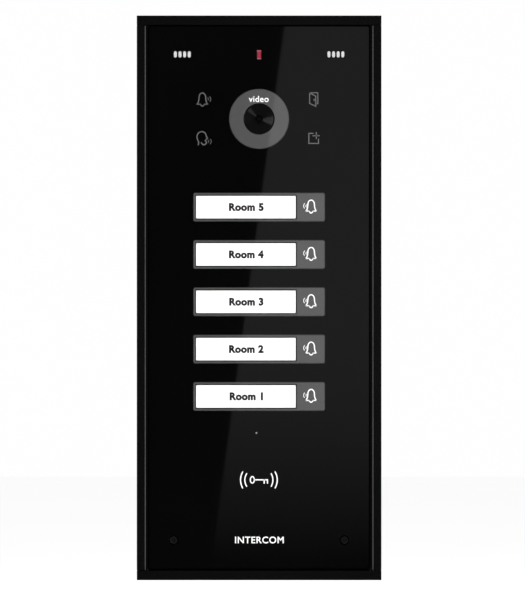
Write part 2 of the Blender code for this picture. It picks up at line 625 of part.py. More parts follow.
make("tag_reader_coil",
     lambda bm: add_frame(bm, rounded(46.0, 34.0, 8.0, 5, 0, COIL_Z), rounded(34.0, 22.0, 3.0, 5, 0, COIL_Z),
                          PLATE_REAR + GAP, -25.3),
     "copper", "front_unit", at=(0, -26, COIL_Z))


# --- main board and what is fixed to it ----------------------------------------------------------------
def board_parts(bm):
    base = BOARD_BACK - 0.4
    add_box(bm, -6.0, 6.0, base, -15.2, 68.4, 74.1)            # ribbon connector
    add_box(bm, -7.0, 7.0, base, -16.0, -72.0, -58.0)          # processor
    add_box(bm, 12.0, 22.0, base, -12.5, -66.0, -56.0)         # choke
    add_box(bm, 12.0, 18.0, base, -16.2, -90.0, -80.0)         # memory
    add_box(bm, -24.0, -14.0, base, -15.9, -95.0, -88.0)       # reader chip
    for x in (30.0, 38.0):                                     # capacitors
        add_lathe(bm, [(0, base), (3.15, base), (3.15, -11.0), (2.8, -10.6), (0, -10.6)], (x, 0, -84.0), "Y", 20)


def board_holes(bm):
    for x, z in BOARD_SCREWS:
        add_prism(bm, circle(1.3, 16, x, z), -22.0, -15.0)


make("main_board",
     lambda bm: add_box(bm, -BOARD_HALF_W, BOARD_HALF_W, BOARD_FRONT, BOARD_BACK, BOARD_BOTTOM, BOARD_TOP),
     "board", "front_unit", at=(0, BOARD_BACK, 0), steps=[("UNION", board_parts), ("DIFFERENCE", board_holes)])

for index, (x, z) in enumerate(BOARD_SCREWS, 1):
    make(f"board_screw_{index}",
         lambda bm: add_lathe(bm, [(0, -15.5), (1.5, -15.5), (2.2, -16.1), (2.2, BOARD_BACK + GAP),
                                   (1.0, BOARD_BACK + GAP), (1.0, -23.6), (0, -24.2)], (x, 0, z), "Y", 20),
         "zinc", "front_unit", at=(x, -16, z),
         steps=[("DIFFERENCE", lambda bm: add_box(bm, x - 1.3, x + 1.3, -16.1, -15.0, z - 0.3, z + 0.3))])


def terminal_wells(bm):
    for i in range(8):
        x = -20.3 + 5.075 * (i + 0.5)
        add_prism(bm, circle(1.7, 14, x, -13.2), -9.6, -7.0)
        add_box(bm, x - 1.6, x + 1.6, -14.6, -11.4, -8.4, -5.0)


make("terminal_block", lambda bm: add_box(bm, -20.3, 20.3, BOARD_BACK + GAP, -8.0, -17.0, -6.6),
     "terminal", "front_unit", at=(0, -12, -12), steps=[("DIFFERENCE", terminal_wells)])
make("lock_relay", lambda bm: add_box(bm, -40.0, -30.0, BOARD_BACK + GAP, -7.0, -56.0, -36.0),
     "relay", "front_unit", at=(-35, -12, -46), bevel=0.4)
make("tamper_switch",
     lambda bm: add_prism(bm, rounded(7.0, 7.0, 0.5, 2, TAMPER_X, TAMPER_Z), BOARD_BACK + GAP, -13.2),
     "black_abs", "front_unit", at=(TAMPER_X, -15, TAMPER_Z),
     steps=[("DIFFERENCE", lambda bm: add_prism(bm, circle(1.7, 20, TAMPER_X, TAMPER_Z), -15.8, -12.0))])
empty("tamper_axis", (TAMPER_X, -13.0, TAMPER_Z), "front_unit")
make("tamper_plunger",
     lambda bm: add_lathe(bm, [(0, -14.4), (1.3, -14.4), (1.3, -11.6), (2.6, -11.6), (2.6, -11.0), (1.3, -11.0),
                               (1.3, -3.6), (0.9, -3.2), (0, -3.2)], (TAMPER_X, 0, TAMPER_Z), "Y", 20),
     "silicone", "tamper_axis", at=(TAMPER_X, -13.0, TAMPER_Z))

# ================================ call keys, each slides inwards ========================================
for number, z in KEYS:
    axis_name = f"call_key_{number}_axis"
    empty(axis_name, (0.0, KEY_FRONT, z), "front_unit")

    def key(bm):
        rear = SEAT + KEY_FLANGE
        add_loft(bm, [
            (KEY_FRONT, rounded(KEY_W - 0.7, KEY_H - 0.7, KEY_R - 0.35, 4, 0, z)),
            (KEY_FRONT + 0.35, rounded(KEY_W, KEY_H, KEY_R, 4, 0, z)),
            (SEAT, rounded(KEY_W, KEY_H, KEY_R, 4, 0, z)),
            (SEAT, rounded(KEY_W + 2.4, KEY_H + 2.4, KEY_R, 4, 0, z)),
            (rear, rounded(KEY_W + 2.4, KEY_H + 2.4, KEY_R, 4, 0, z)),
        ])

    def key_stem(bm):
        add_box(bm, -4.0, 4.0, SEAT + 0.6, KEY_STEM_END, z - 4.0, z + 4.0)

    def key_pocket(bm):
        add_prism(bm, rounded(CARD_W + 0.6, CARD_H + 0.6, 0.5, 2, CARD_X, z), KEY_FRONT - 1.0, -32.0)

    make(f"call_key_{number}", key, "smoke", axis_name, at=(0, KEY_FRONT, z),
         steps=[("UNION", key_stem), ("DIFFERENCE", key_pocket)])
    make(f"name_card_{number}",
         lambda bm: add_prism(bm, rounded(CARD_W, CARD_H, 0.3, 2, CARD_X, z), -33.0, -32.3),
         "card", axis_name, at=(CARD_X, -32.7, z))
    make(f"key_dome_{number}",
         lambda bm: add_lathe(bm, [(0, -21.9), (2.6, -21.9), (3.0, -21.7), (4.6, -20.1), (6.0, -20.0), (6.0, -19.3),
                                   (4.0, -19.3), (2.6, -20.9), (0, -20.9)], (0, 0, z), "Y", 24),
         "silicone", "front_unit", at=(0, -20.0, z))
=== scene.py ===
"""Looks of the door intercom panel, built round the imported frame."""

import json
import math

import bmesh
import bpy
from mathutils import Matrix, Vector


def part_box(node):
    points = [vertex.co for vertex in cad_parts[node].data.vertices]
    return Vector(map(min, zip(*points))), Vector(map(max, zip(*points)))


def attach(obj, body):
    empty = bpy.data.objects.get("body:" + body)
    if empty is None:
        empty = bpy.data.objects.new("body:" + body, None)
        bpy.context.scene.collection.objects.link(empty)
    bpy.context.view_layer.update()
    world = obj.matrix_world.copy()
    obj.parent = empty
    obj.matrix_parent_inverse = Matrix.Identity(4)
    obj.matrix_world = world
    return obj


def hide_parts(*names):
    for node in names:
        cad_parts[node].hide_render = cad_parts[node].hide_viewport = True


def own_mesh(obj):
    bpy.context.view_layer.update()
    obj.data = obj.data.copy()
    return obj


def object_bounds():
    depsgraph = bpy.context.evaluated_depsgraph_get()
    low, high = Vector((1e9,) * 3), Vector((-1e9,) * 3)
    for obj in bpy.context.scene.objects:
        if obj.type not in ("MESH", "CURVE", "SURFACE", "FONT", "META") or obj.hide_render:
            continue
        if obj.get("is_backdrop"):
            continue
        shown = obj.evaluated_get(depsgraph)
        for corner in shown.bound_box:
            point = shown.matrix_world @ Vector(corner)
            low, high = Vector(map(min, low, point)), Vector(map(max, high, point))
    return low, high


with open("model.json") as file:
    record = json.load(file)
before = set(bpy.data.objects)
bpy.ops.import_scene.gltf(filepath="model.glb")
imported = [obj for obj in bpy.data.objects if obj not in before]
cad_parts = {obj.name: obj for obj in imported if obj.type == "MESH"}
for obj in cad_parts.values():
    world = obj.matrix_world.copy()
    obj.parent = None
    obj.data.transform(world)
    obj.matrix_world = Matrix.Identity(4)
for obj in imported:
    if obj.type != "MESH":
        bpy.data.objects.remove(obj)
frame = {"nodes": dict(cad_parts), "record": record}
cad_low, cad_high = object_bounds()
NODES = frame["nodes"]
scene = bpy.context.scene
MM = 0.001

# ================================ camera =============================================================
FRONT_Y = cad_low.y                      # front of the frame
VIEW_W = 0.27893                         # width that the picture covers at the front, metres
CAM_D = 4.0
camera_data = bpy.data.cameras.new("view")
camera_data.sensor_fit = "HORIZONTAL"
camera_data.sensor_width = 36.0
camera_data.lens = 36.0 * CAM_D / VIEW_W
camera_data.clip_end = 50.0
camera_data.clip_start = 0.01
camera = bpy.data.objects.new("view", camera_data)
scene.collection.objects.link(camera)
camera.location = (0.00181, FRONT_Y - CAM_D, -0.00114)
camera.rotation_euler = (math.radians(90), 0, 0)
scene.camera = camera
scene.view_settings.view_transform = "Standard"
scene.view_settings.look = "None"


# ================================ node helpers ========================================================
class Tree:
    def __init__(self, tree):
        self.t = tree
        self.n = tree.nodes
        self.l = tree.links

    def node(self, kind, inputs=None, **props):
        node = self.n.new(kind)
        for k, v in props.items():
            setattr(node, k, v)
        for k, v in (inputs or {}).items():
            if isinstance(v, bpy.types.NodeSocket):
                self.l.new(v, node.inputs[k])
            else:
                node.inputs[k].default_value = v
        return node

    def maths(self, op, a, b=0.0, c=0.0, clamp=False):
        node = self.n.new("ShaderNodeMath")
        node.operation = op
        node.use_clamp = clamp
        for i, v in enumerate((a, b, c)):
            if isinstance(v, bpy.types.NodeSocket):
                self.l.new(v, node.inputs[i])
            else:
                node.inputs[i].default_value = v
        return node.outputs[0]

    def spread(self, value, low, high, to_low, to_high, smooth=False):
        node = self.n.new("ShaderNodeMapRange")
        node.interpolation_type = "SMOOTHSTEP" if smooth else "LINEAR"
        self.l.new(value, node.inputs["Value"])
        for k, v in zip(("From Min", "From Max", "To Min", "To Max"), (low, high, to_low, to_high)):
            node.inputs[k].default_value = v
        return node.outputs["Result"]

    def mix(self, factor, a, b):
        node = self.n.new("ShaderNodeMix")
        node.data_type = "RGBA"
        for k, v in ((0, factor), (6, a), (7, b)):
            if isinstance(v, bpy.types.NodeSocket):
                self.l.new(v, node.inputs[k])
            elif k == 0:
                node.inputs[k].default_value = v
            else:
                node.inputs[k].default_value = (*v, 1.0)
        return node.outputs[2]

    def noise(self, coords, scale, detail=3.0, rough=0.5, stretch=None):
        if stretch:
            coords = self.node("ShaderNodeMapping", {"Vector": coords, "Scale": stretch}).outputs[0]
        return self.node("ShaderNodeTexNoise", {"Vector": coords, "Scale": scale, "Detail": detail,
                                                "Roughness": rough}).outputs[0]


def material(name, colour, rough, metal=0.0, vary=0.12, vary_scale=60.0, grain=0.0, grain_scale=3000.0,
             stretch=None, rough_vary=0.04, bump=0.0, bump_scale=2500.0, ior=None, coat=0.0, coat_rough=0.05,
             edge=0.0, emission=None, strength=0.0, alpha=None, transmission=0.0, sheen=0.0, dark=None):
    """Procedural finish: colour drifts slowly over the surface and in fine grain, roughness drifts too,
    and a fine bump breaks up the highlights. edge adds faint handling marks."""
    m = bpy.data.materials.new(name)
    m.use_nodes = True
    t = Tree(m.node_tree)
    shader = m.node_tree.nodes["Principled BSDF"]
    place = t.node("ShaderNodeTexCoord").outputs["Object"]
    low = tuple(c * (1 - vary) for c in colour) if dark is None else dark
    high = tuple(min(1.0, c * (1 + vary)) for c in colour)
    slow = t.noise(place, vary_scale, 3.0, 0.55)
    shade = t.mix(t.spread(slow, 0.3, 0.7, 0.0, 1.0), low, high)
    fine = None
    if grain:
        fine = t.noise(place, grain_scale, 2.0, 0.6, stretch)
        darker = t.node("ShaderNodeMix", {0: 1.0}, data_type="RGBA", blend_type="MULTIPLY")
        t.l.new(shade, darker.inputs[6])
        grey = t.spread(fine, 0.25, 0.75, 1.0 - grain, 1.0 + grain)
        t.l.new(grey, darker.inputs[7])
        shade = darker.outputs[2]
    if edge:
        scuffs = t.noise(place, 38.0, 6.0, 0.72)
        worn = t.maths("MULTIPLY", t.spread(scuffs, 0.6, 0.72, 0.0, 1.0), edge, clamp=True)
        shade = t.mix(worn, shade, tuple(min(1.0, c * 1.6 + 0.01) for c in colour))
    t.l.new(shade, shader.inputs["Base Color"])
    wear = t.noise(place, vary_scale * 2.3, 4.0, 0.6)
    t.l.new(t.spread(wear, 0.3, 0.7, max(0.0, rough - rough_vary), min(1.0, rough + rough_vary)),
            shader.inputs["Roughness"])
    shader.inputs["Metallic"].default_value = metal
    if ior:
        shader.inputs["IOR"].default_value = ior
    if coat:
        shader.inputs["Coat Weight"].default_value = coat
        shader.inputs["Coat Roughness"].default_value = coat_rough
    if sheen:
        shader.inputs["Sheen Weight"].default_value = sheen
    if transmission:
        shader.inputs["Transmission Weight"].default_value = transmission
    if alpha is not None:
        shader.inputs["Alpha"].default_value = alpha
    if emission:
        shader.inputs["Emission Color"].default_value = (*emission, 1.0)
        shader.inputs["Emission Strength"].default_value = strength
    if bump:
        relief = t.noise(place, bump_scale, 2.0, 0.5, stretch)
        node = t.node("ShaderNodeBump", {"Height": relief, "Strength": bump, "Distance": 0.0001})
        t.l.new(node.outputs[0], shader.inputs["Normal"])
    return m


# ================================ finishes ============================================================
LOOK = {
    "rail": material("rail_anodised", (0.0013, 0.0013, 0.0014), 0.25, metal=0.0, vary=0.15, vary_scale=25.0,
                     grain=0.2, grain_scale=900.0, stretch=(6.0, 6.0, 0.08), rough_vary=0.02, bump=0.006,
                     bump_scale=300.0, ior=1.5),
    "cap": material("cap_anodised", (0.0013, 0.0013, 0.0014), 0.25, vary=0.15, vary_scale=30.0, grain=0.2,
                    grain_scale=900.0, stretch=(0.08, 6.0, 6.0), rough_vary=0.02, bump=0.006, bump_scale=300.0,
                    ior=1.5),
    "plate": material("plate_anodised", (0.02, 0.02, 0.021), 0.42, vary=0.2, vary_scale=18.0, grain=0.3,
                      grain_scale=1400.0, rough_vary=0.08, bump=0.25, bump_scale=1800.0, edge=0.4),
    "glass": material("black_glass", (0.0006, 0.0006, 0.00065), 0.02, vary=0.3, vary_scale=14.0, rough_vary=0.008,
                      ior=1.5),
    "carrier": material("moulded_abs", (0.018, 0.018, 0.019), 0.55, vary=0.15, vary_scale=30.0, grain=0.15,
                        grain_scale=2500.0, rough_vary=0.08, bump=0.35, bump_scale=2200.0, edge=0.3),
    "funnel": material("funnel_gloss_black", (0.0018, 0.0018, 0.0019), 0.16, vary=0.2, rough_vary=0.03, ior=1.5),
    "ring": material("ring_smoked", (0.065, 0.065, 0.0655), 0.02, vary=0.05, vary_scale=40.0, grain=0.05,
                     grain_scale=1800.0, rough_vary=0.006, ior=2.0),
    "key": material("key_smoked", (0.064, 0.064, 0.0645), 0.03, vary=0.05, vary_scale=45.0, grain=0.05,
                    grain_scale=1800.0, rough_vary=0.01, ior=2.0),
    # darker copy of the key colour for the pocket round the name card: painted shade in the recess
    "recess_painted_shade": material("key_recess_painted_shade", (0.033, 0.033, 0.0335), 0.3, vary=0.08, vary_scale=45.0, grain=0.08,
                       grain_scale=1800.0, rough_vary=0.05),
    "card": material("printed_card", (0.93, 0.93, 0.93), 0.35, vary=0.012, vary_scale=40.0, grain=0.012,
                     grain_scale=2500.0, rough_vary=0.05, coat=1.0, coat_rough=0.02),
    "ink": material("card_ink", (0.006, 0.006, 0.007), 0.4, vary=0.1, vary_scale=200.0, rough_vary=0.05),
    "print_white": material("white_print", (0.86, 0.86, 0.86), 0.45, vary=0.03, vary_scale=150.0, grain=0.02,
                            rough_vary=0.06),
    "print_grey": material("grey_print", (0.102, 0.102, 0.104), 0.45, vary=0.06, vary_scale=150.0, grain=0.03,
                           rough_vary=0.06),
    "white": material("porous_white", (0.5, 0.5, 0.5), 0.6, vary=0.04, vary_scale=200.0, grain=0.06,
                      grain_scale=5000.0, rough_vary=0.08, bump=0.5, bump_scale=5000.0),
    "lens": material("coated_lens", (0.0015, 0.0015, 0.0025), 0.03, vary=0.2, vary_scale=300.0, rough_vary=0.01, coat=1.0),
    "lens_ring": material("lens_surround", (0.004, 0.004, 0.0045), 0.35, vary=0.2, vary_scale=300.0,
                          rough_vary=0.05),
    "zinc": material("zinc_plate", (0.62, 0.62, 0.6), 0.3, metal=1.0, vary=0.1, vary_scale=120.0, grain=0.12,
                     grain_scale=3000.0, rough_vary=0.1, bump=0.2, bump_scale=3000.0, edge=0.3),
    "screw": material("black_screw", (0.004, 0.004, 0.0042), 0.22, vary=0.2, vary_scale=300.0, grain=0.1,
                      rough_vary=0.05, bump=0.1, ior=1.7),
    # pale grey dot in the microphone hole: partly the gauze's own colour, partly a painted glint
    "gauze": material("mic_gauze", (0.3, 0.3, 0.3), 0.4, vary=0.1, vary_scale=600.0, grain=0.3, grain_scale=9000.0,
                      rough_vary=0.06, bump=0.4, bump_scale=9000.0),
    "mic": material("mic_rim_dark", (0.004, 0.004, 0.0042), 0.3, vary=0.15, vary_scale=400.0, rough_vary=0.06),
    # paler red of the bars above and below the red window: painted highlight
    "red_rim_painted_highlight": material("red_rim_painted_highlight", (0.3, 0.075, 0.11), 0.3, vary=0.1, vary_scale=600.0, rough_vary=0.06),
    "rubber": material("black_rubber", (0.018, 0.018, 0.018), 0.75, vary=0.2, vary_scale=60.0, grain=0.2,
                       grain_scale=3500.0, rough_vary=0.1, bump=0.4, bump_scale=3000.0, sheen=0.1),
    "silicone": material("grey_silicone", (0.42, 0.42, 0.43), 0.5, vary=0.08, vary_scale=120.0, grain=0.06,
                         rough_vary=0.08, bump=0.15, sheen=0.15),
    "foam": material("foam", (0.03, 0.03, 0.031), 0.95, vary=0.3, vary_scale=300.0, grain=0.5, grain_scale=2200.0,
                     rough_vary=0.04, bump=1.0, bump_scale=2200.0),
    "ribbon": material("ribbon_cable", (0.72, 0.71, 0.66), 0.4, vary=0.06, grain=0.35, grain_scale=1300.0,
                       stretch=(1.0, 0.02, 0.02), rough_vary=0.06),
    "clear": material("light_guide", (0.75, 0.78, 0.78), 0.12, vary=0.04, vary_scale=80.0, rough_vary=0.04),
    "relay": material("relay_blue", (0.015, 0.075, 0.33), 0.3, vary=0.1, vary_scale=60.0, grain=0.06,
                      rough_vary=0.06, bump=0.1),
    "terminal": material("terminal_green", (0.02, 0.26, 0.07), 0.42, vary=0.12, vary_scale=80.0, grain=0.08,
                         rough_vary=0.06, bump=0.2),
    "chip": material("chip_epoxy", (0.02, 0.02, 0.021), 0.45, vary=0.2, vary_scale=200.0, grain=0.15,
                     rough_vary=0.06, bump=0.25),
    "tan": material("ceramic_tan", (0.38, 0.25, 0.13), 0.4, vary=0.12, vary_scale=500.0, rough_vary=0.06),
    "cream": material("connector_cream", (0.6, 0.56, 0.46), 0.4, vary=0.06, vary_scale=200.0, grain=0.05,
                      rough_vary=0.06),
    "solder": material("tinned_contact", (0.75, 0.74, 0.7), 0.25, metal=1.0, vary=0.08, vary_scale=300.0,
                       rough_vary=0.08),
    "can": material("drawn_can", (0.6, 0.6, 0.6), 0.25, metal=1.0, vary=0.08, vary_scale=200.0, rough_vary=0.08),
    "speaker": material("speaker_frame", (0.3, 0.3, 0.31), 0.3, metal=0.9, vary=0.12, vary_scale=90.0, grain=0.1,
                        rough_vary=0.08, edge=0.3),
}


def circuit_board(name):
    """Green solder mask with paler copper tracks and rows of plated holes showing through it."""
    m = bpy.data.materials.new(name)
    m.use_nodes = True
    t = Tree(m.node_tree)
    shader = m.node_tree.nodes["Principled BSDF"]
    place = t.node("ShaderNodeTexCoord").outputs["Object"]
    parts = t.node("ShaderNodeSeparateXYZ", {"Vector": place})
    flat = t.node("ShaderNodeCombineXYZ", {"X": parts.outputs[0], "Y": parts.outputs[2]}).outputs[0]
    cells = t.node("ShaderNodeTexVoronoi", {"Vector": flat, "Scale": 130.0, "Randomness": 0.55}, distance="MANHATTAN",
                   feature="F1")
    tracks = t.spread(t.maths("FRACT", t.maths("MULTIPLY", cells.outputs["Distance"], 6.0)), 0.42, 0.5, 0.0, 1.0)
    dots = t.node("ShaderNodeTexVoronoi", {"Vector": flat, "Scale": 330.0, "Randomness": 1.0}, feature="F1")
    holes = t.spread(dots.outputs["Distance"], 0.12, 0.17, 1.0, 0.0)
    some = t.spread(t.noise(flat, 45.0, 1.0), 0.5, 0.56, 0.0, 1.0)
    holes = t.maths("MULTIPLY", holes, some)
    shade = t.mix(tracks, (0.004, 0.062, 0.022), (0.008, 0.105, 0.038))
    drift = t.spread(t.noise(place, 50.0, 3.0), 0.3, 0.7, 0.0, 0.25)
    shade = t.mix(drift, shade, (0.004, 0.05, 0.02))
    shade = t.mix(holes, shade, (0.55, 0.52, 0.42))
    t.l.new(shade, shader.inputs["Base Color"])
    t.l.new(t.maths("MULTIPLY", holes, 0.9), shader.inputs["Metallic"])
    t.l.new(t.spread(t.noise(place, 300.0, 3.0), 0.3, 0.7, 0.22, 0.34), shader.inputs["Roughness"])
    height = t.maths("ADD", t.maths("MULTIPLY", tracks, 0.6), holes)
    bump = t.node("ShaderNodeBump", {"Height": height, "Strength": 0.5, "Distance": 0.00006})
    t.l.new(bump.outputs[0], shader.inputs["Normal"])
    return m


def red_filter(name):
    """Red window over a fine square mesh."""
    m = bpy.data.materials.new(name)
    m.use_nodes = True
    t = Tree(m.node_tree)
    shader = m.node_tree.nodes["Principled BSDF"]
    place = t.node("ShaderNodeTexCoord").outputs["Object"]
    parts = t.node("ShaderNodeSeparateXYZ", {"Vector": place})
    lines = None
    for axis in (0, 2):
        wave = t.maths("ABSOLUTE", t.maths("SUBTRACT", t.maths("FRACT", t.maths("MULTIPLY", parts.outputs[axis], 1400.0)), 0.5))
        band = t.spread(wave, 0.3, 0.45, 0.0, 1.0)
        lines = band if lines is None else t.maths("MAXIMUM", lines, band)
    shade = t.mix(lines, (0.3, 0.026, 0.046), (0.16, 0.012, 0.022))
    shade = t.mix(t.spread(t.noise(place, 500.0), 0.3, 0.7, 0.0, 0.3), shade, (0.3, 0.03, 0.04))
    t.l.new(shade, shader.inputs["Base Color"])
    t.l.new(t.spread(t.noise(place, 900.0), 0.3, 0.7, 0.14, 0.24), shader.inputs["Roughness"])
    bump = t.node("ShaderNodeBump", {"Height": lines, "Strength": 0.4, "Distance": 0.00005})
    t.l.new(bump.outputs[0], shader.inputs["Normal"])
    return m


def wound_copper(name):
    """Coil of fine enamelled wire: close turns that follow the rounded frame, each turn darkening to brown at its edges
    as painted shade between the wires.
    """
    m = bpy.data.materials.new(name)
    m.use_nodes = True
    t = Tree(m.node_tree)
    shader = m.node_tree.nodes["Principled BSDF"]
    place = t.node("ShaderNodeTexCoord").outputs["Object"]
    parts = t.node("ShaderNodeSeparateXYZ", {"Vector": place})
    low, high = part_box("tag_reader_coil")
    cx, cz = (low.x + high.x) / 2, (low.z + high.z) / 2
    dx = t.maths("ABSOLUTE", t.maths("SUBTRACT", parts.outputs[0], cx))
    dz = t.maths("ABSOLUTE", t.maths("SUBTRACT", parts.outputs[2], cz))
    reach = t.maths("MAXIMUM", dx, t.maths("ADD", dz, 0.006))
    wire = t.maths("ABSOLUTE", t.maths("SUBTRACT", t.maths("FRACT", t.maths("MULTIPLY", reach, 2500.0)), 0.5))
    # painted shade: the copper turns dark brown where neighbouring turns meet
    shade = t.mix(t.spread(wire, 0.15, 0.5, 0.0, 1.0), (0.72, 0.3, 0.13), (0.2, 0.06, 0.02))
    t.l.new(shade, shader.inputs["Base Color"])
    shader.inputs["Metallic"].default_value = 0.85
    t.l.new(t.spread(t.noise(place, 400.0), 0.3, 0.7, 0.25, 0.38), shader.inputs["Roughness"])
    bump = t.node("ShaderNodeBump", {"Height": wire, "Strength": 0.7, "Distance": 0.00012}, invert=True)
    t.l.new(bump.outputs[0], shader.inputs["Normal"])
    return m


LOOK["board"] = circuit_board("circuit_board")
LOOK["red"] = red_filter("red_filter")
LOOK["copper"] = wound_copper("wound_copper")


# ================================ shapes ==============================================================
def link(mesh, name, look, body, node=None, smooth=32.0):
    obj = bpy.data.objects.new(name, mesh)
    scene.collection.objects.link(obj)
    mesh.materials.clear()
    mesh.materials.append(LOOK[look])
    if smooth is not None:
        mesh.shade_smooth()
        mesh.set_sharp_from_angle(angle=math.radians(smooth))
        for face in mesh.polygons:           # flats stay truly flat beside their eased edges
            if abs(face.normal.y) > 0.9995:
                face.use_smooth = False
    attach(obj, body)
    if node:
        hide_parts(node)
    return obj


def mesh_of(fill, name):
    bm = bmesh.new()
    fill(bm)
    bmesh.ops.recalc_face_normals(bm, faces=bm.faces[:])
    bmesh.ops.scale(bm, verts=bm.verts[:], vec=(MM, MM, MM))
    mesh = bpy.data.meshes.new(name)
    bm.to_mesh(mesh)
    bm.free()
    return mesh


def rounded(w, h, r, n=8, cx=0.0, cz=0.0):
    points = []
    for sx, sz, start in ((1, -1, -90), (1, 1, 0), (-1, 1, 90), (-1, -1, 180)):
        for i in range(n + 1):
            a = math.radians(start + 90.0 * i / n)
            points.append((cx + sx * (w / 2 - r) + r * math.cos(a), cz + sz * (h / 2 - r) + r * math.sin(a)))
    return points


def circle(r, n=64, cx=0.0, cz=0.0):
    return [(cx + r * math.cos(2 * math.pi * i / n), cz + r * math.sin(2 * math.pi * i / n)) for i in range(n)]


def loft(bm, levels, caps=True):
    rings = [[bm.verts.new((x, y, z)) for x, z in outline] for y, outline in levels]
    for a, b in zip(rings, rings[1:]):
        for i in range(len(a)):
            j = (i + 1) % len(a)
            bm.faces.new((a[i], a[j], b[j], b[i]))
    if caps:
        bm.faces.new(rings[0][::-1])
        bm.faces.new(rings[-1])


def lathe(bm, profile, centre, n=96, closed=None):
    """Turned about the Y axis through centre; profile is (radius, y) points in order."""
    cx, cz = centre
    rings = []
    for r, y in profile:
        count = n if r > 1e-9 else 1
        rings.append([bm.verts.new((cx + r * math.cos(2 * math.pi * i / count), y, cz + r * math.sin(2 * math.pi * i / count)))
                      for i in range(count)])
    if closed is None:
        closed = min(r for r, _ in profile) > 1e-9
    for a, b in list(zip(rings, rings[1:])) + ([(rings[-1], rings[0])] if closed else []):
        for i in range(n):
            j = (i + 1) % n
            face = []
            for v in (a[i % len(a)], a[j % len(a)], b[j % len(b)], b[i % len(b)]):
                if v not in face:
                    face.append(v)
            if len(face) > 2:
                bm.faces.new(face)


def box(bm, x0, x1, y0, y1, z0, z1):
    loft(bm, [(y0, [(x0, z0), (x1, z0), (x1, z1), (x0, z1)]), (y1, [(x0, z0), (x1, z0), (x1, z1), (x0, z1)])])


def sheet_with_holes(name, outlines, y_front, y_back, edge):
    """Plate cut from a sheet: first outline is its edge, the others are holes. All its edges are eased by
    edge millimetres, which stays inside the outlines."""
    curve = bpy.data.curves.new(name, "CURVE")
    curve.dimensions = "2D"
    curve.fill_mode = "BOTH"
    curve.extrude = abs(y_back - y_front) / 2 - edge
    curve.bevel_depth = edge
    curve.bevel_resolution = 2
    curve.offset = -edge
    for outline in outlines:
        spline = curve.splines.new("POLY")
        spline.points.add(len(outline) - 1)
        for point, (x, z) in zip(spline.points, outline):
            point.co = (x, z, 0.0, 1.0)
        spline.use_cyclic_u = True
    holder = bpy.data.objects.new(name + "_curve", curve)
    scene.collection.objects.link(holder)
    bpy.context.view_layer.update()
    mesh = bpy.data.meshes.new_from_object(holder.evaluated_get(bpy.context.evaluated_depsgraph_get()))
    mesh.name = name
    bpy.data.objects.remove(holder)
    middle = (y_front + y_back) / 2
    mesh.transform(Matrix.Scale(MM, 4) @ Matrix.Translation((0, middle, 0)) @ Matrix.Rotation(math.radians(90), 4, "X"))
    bm = bmesh.new()
    bm.from_mesh(mesh)
    bmesh.ops.remove_doubles(bm, verts=bm.verts[:], dist=1e-7)
    bmesh.ops.recalc_face_normals(bm, faces=bm.faces[:])
    bm.to_mesh(mesh)
    bm.free()
    return mesh


PRINT_T = 0.03   # thickness of printed ink, millimetres


def stroke(bm, points, width, y, closed=False, caps=True):
    """Printed line of even width along points (x, z), with mitred turns and round ends, standing off the
    surface at y by PRINT_T."""
    pts = [Vector(p) for p in points]
    n = len(pts)
    half = width / 2
    left, right = [], []
    for i, p in enumerate(pts):
        a = pts[i - 1] if (closed or i) else None
        b = pts[(i + 1) % n] if (closed or i < n - 1) else None
        d1 = (p - a).normalized() if a is not None else None
        d2 = (b - p).normalized() if b is not None else None
        d = ((d1 or d2) + (d2 or d1)).normalized()
        normal = Vector((-d.y, d.x))
        reach = half
        if d1 is not None and d2 is not None:
            turn = max(0.45, abs(normal.dot(Vector((-d1.y, d1.x)))))
            reach = half / turn
        left.append(p + normal * reach)
        right.append(p - normal * reach)
    if closed:
        outer, inner = left, right
        rings = [[bm.verts.new((q.x, yy, q.y)) for q in o] for o in (outer, inner) for yy in (y - PRINT_T, y)]
        order = [rings[0], rings[1], rings[3], rings[2]]
        for a, b in zip(order, order[1:] + order[:1]):
            for i in range(n):
                j = (i + 1) % n
                bm.faces.new((a[i], a[j], b[j], b[i]))
        return
    outline = list(left)
    if caps:
        d = (pts[-1] - pts[-2]).normalized()
        base = math.atan2(d.x, -d.y)
        for k in range(1, 6):
            a = math.atan2(left[-1].y - pts[-1].y, left[-1].x - pts[-1].x) - math.pi * k / 6
            outline.append(pts[-1] + Vector((math.cos(a), math.sin(a))) * half)
    outline += right[::-1]
    if caps:
        for k in range(1, 6):
            a = math.atan2(right[0].y - pts[0].y, right[0].x - pts[0].x) - math.pi * k / 6
            outline.append(pts[0] + Vector((math.cos(a), math.sin(a))) * half)
    front = [bm.verts.new((q.x, y - PRINT_T, q.y)) for q in outline]
    back = [bm.verts.new((q.x, y, q.y)) for q in outline]
    for i in range(len(outline)):
        j = (i + 1) % len(outline)
        bm.faces.new((front[i], front[j], back[j], back[i]))
    # strip faces across the two sides so that bends stay clean
    m = len(left)
    total = len(outline)
    for face_ring, flip in ((front, False), (back, True)):
        for i in range(m - 1):
            ri = total - 1 - i - (5 if caps else 0)
            quad = [face_ring[i], face_ring[i + 1], face_ring[ri - 1], face_ring[ri]]
            bm.faces.new(quad[::-1] if flip else quad)
        if caps:
            end_cap = face_ring[m - 1:m + 6]
            bm.faces.new(end_cap if not flip else end_cap[::-1])
            start_cap = face_ring[m + 5 + m - 1:] + [face_ring[0]]
            bm.faces.new(start_cap if not flip else start_cap[::-1])


def arc(cx, cz, r, a0, a1, n=14, rz=None):
    rz = r if rz is None else rz
    return [(cx + r * math.cos(math.radians(a0 + (a1 - a0) * i / n)),
             cz + rz * math.sin(math.radians(a0 + (a1 - a0) * i / n))) for i in range(n + 1)]


def bow(p0, p1, p2, n=10):
    """Smooth curve from p0 to p2 that passes through p1."""
    out = []
    for i in range(n + 1):
        t = i / n
        a, b, c = 2 * (t - 0.5) * (t - 1), 4 * t * (1 - t), 2 * t * (t - 0.5)
        out.append((a * p0[0] + b * p1[0] + c * p2[0], a * p0[1] + b * p1[1] + c * p2[1]))
    return out


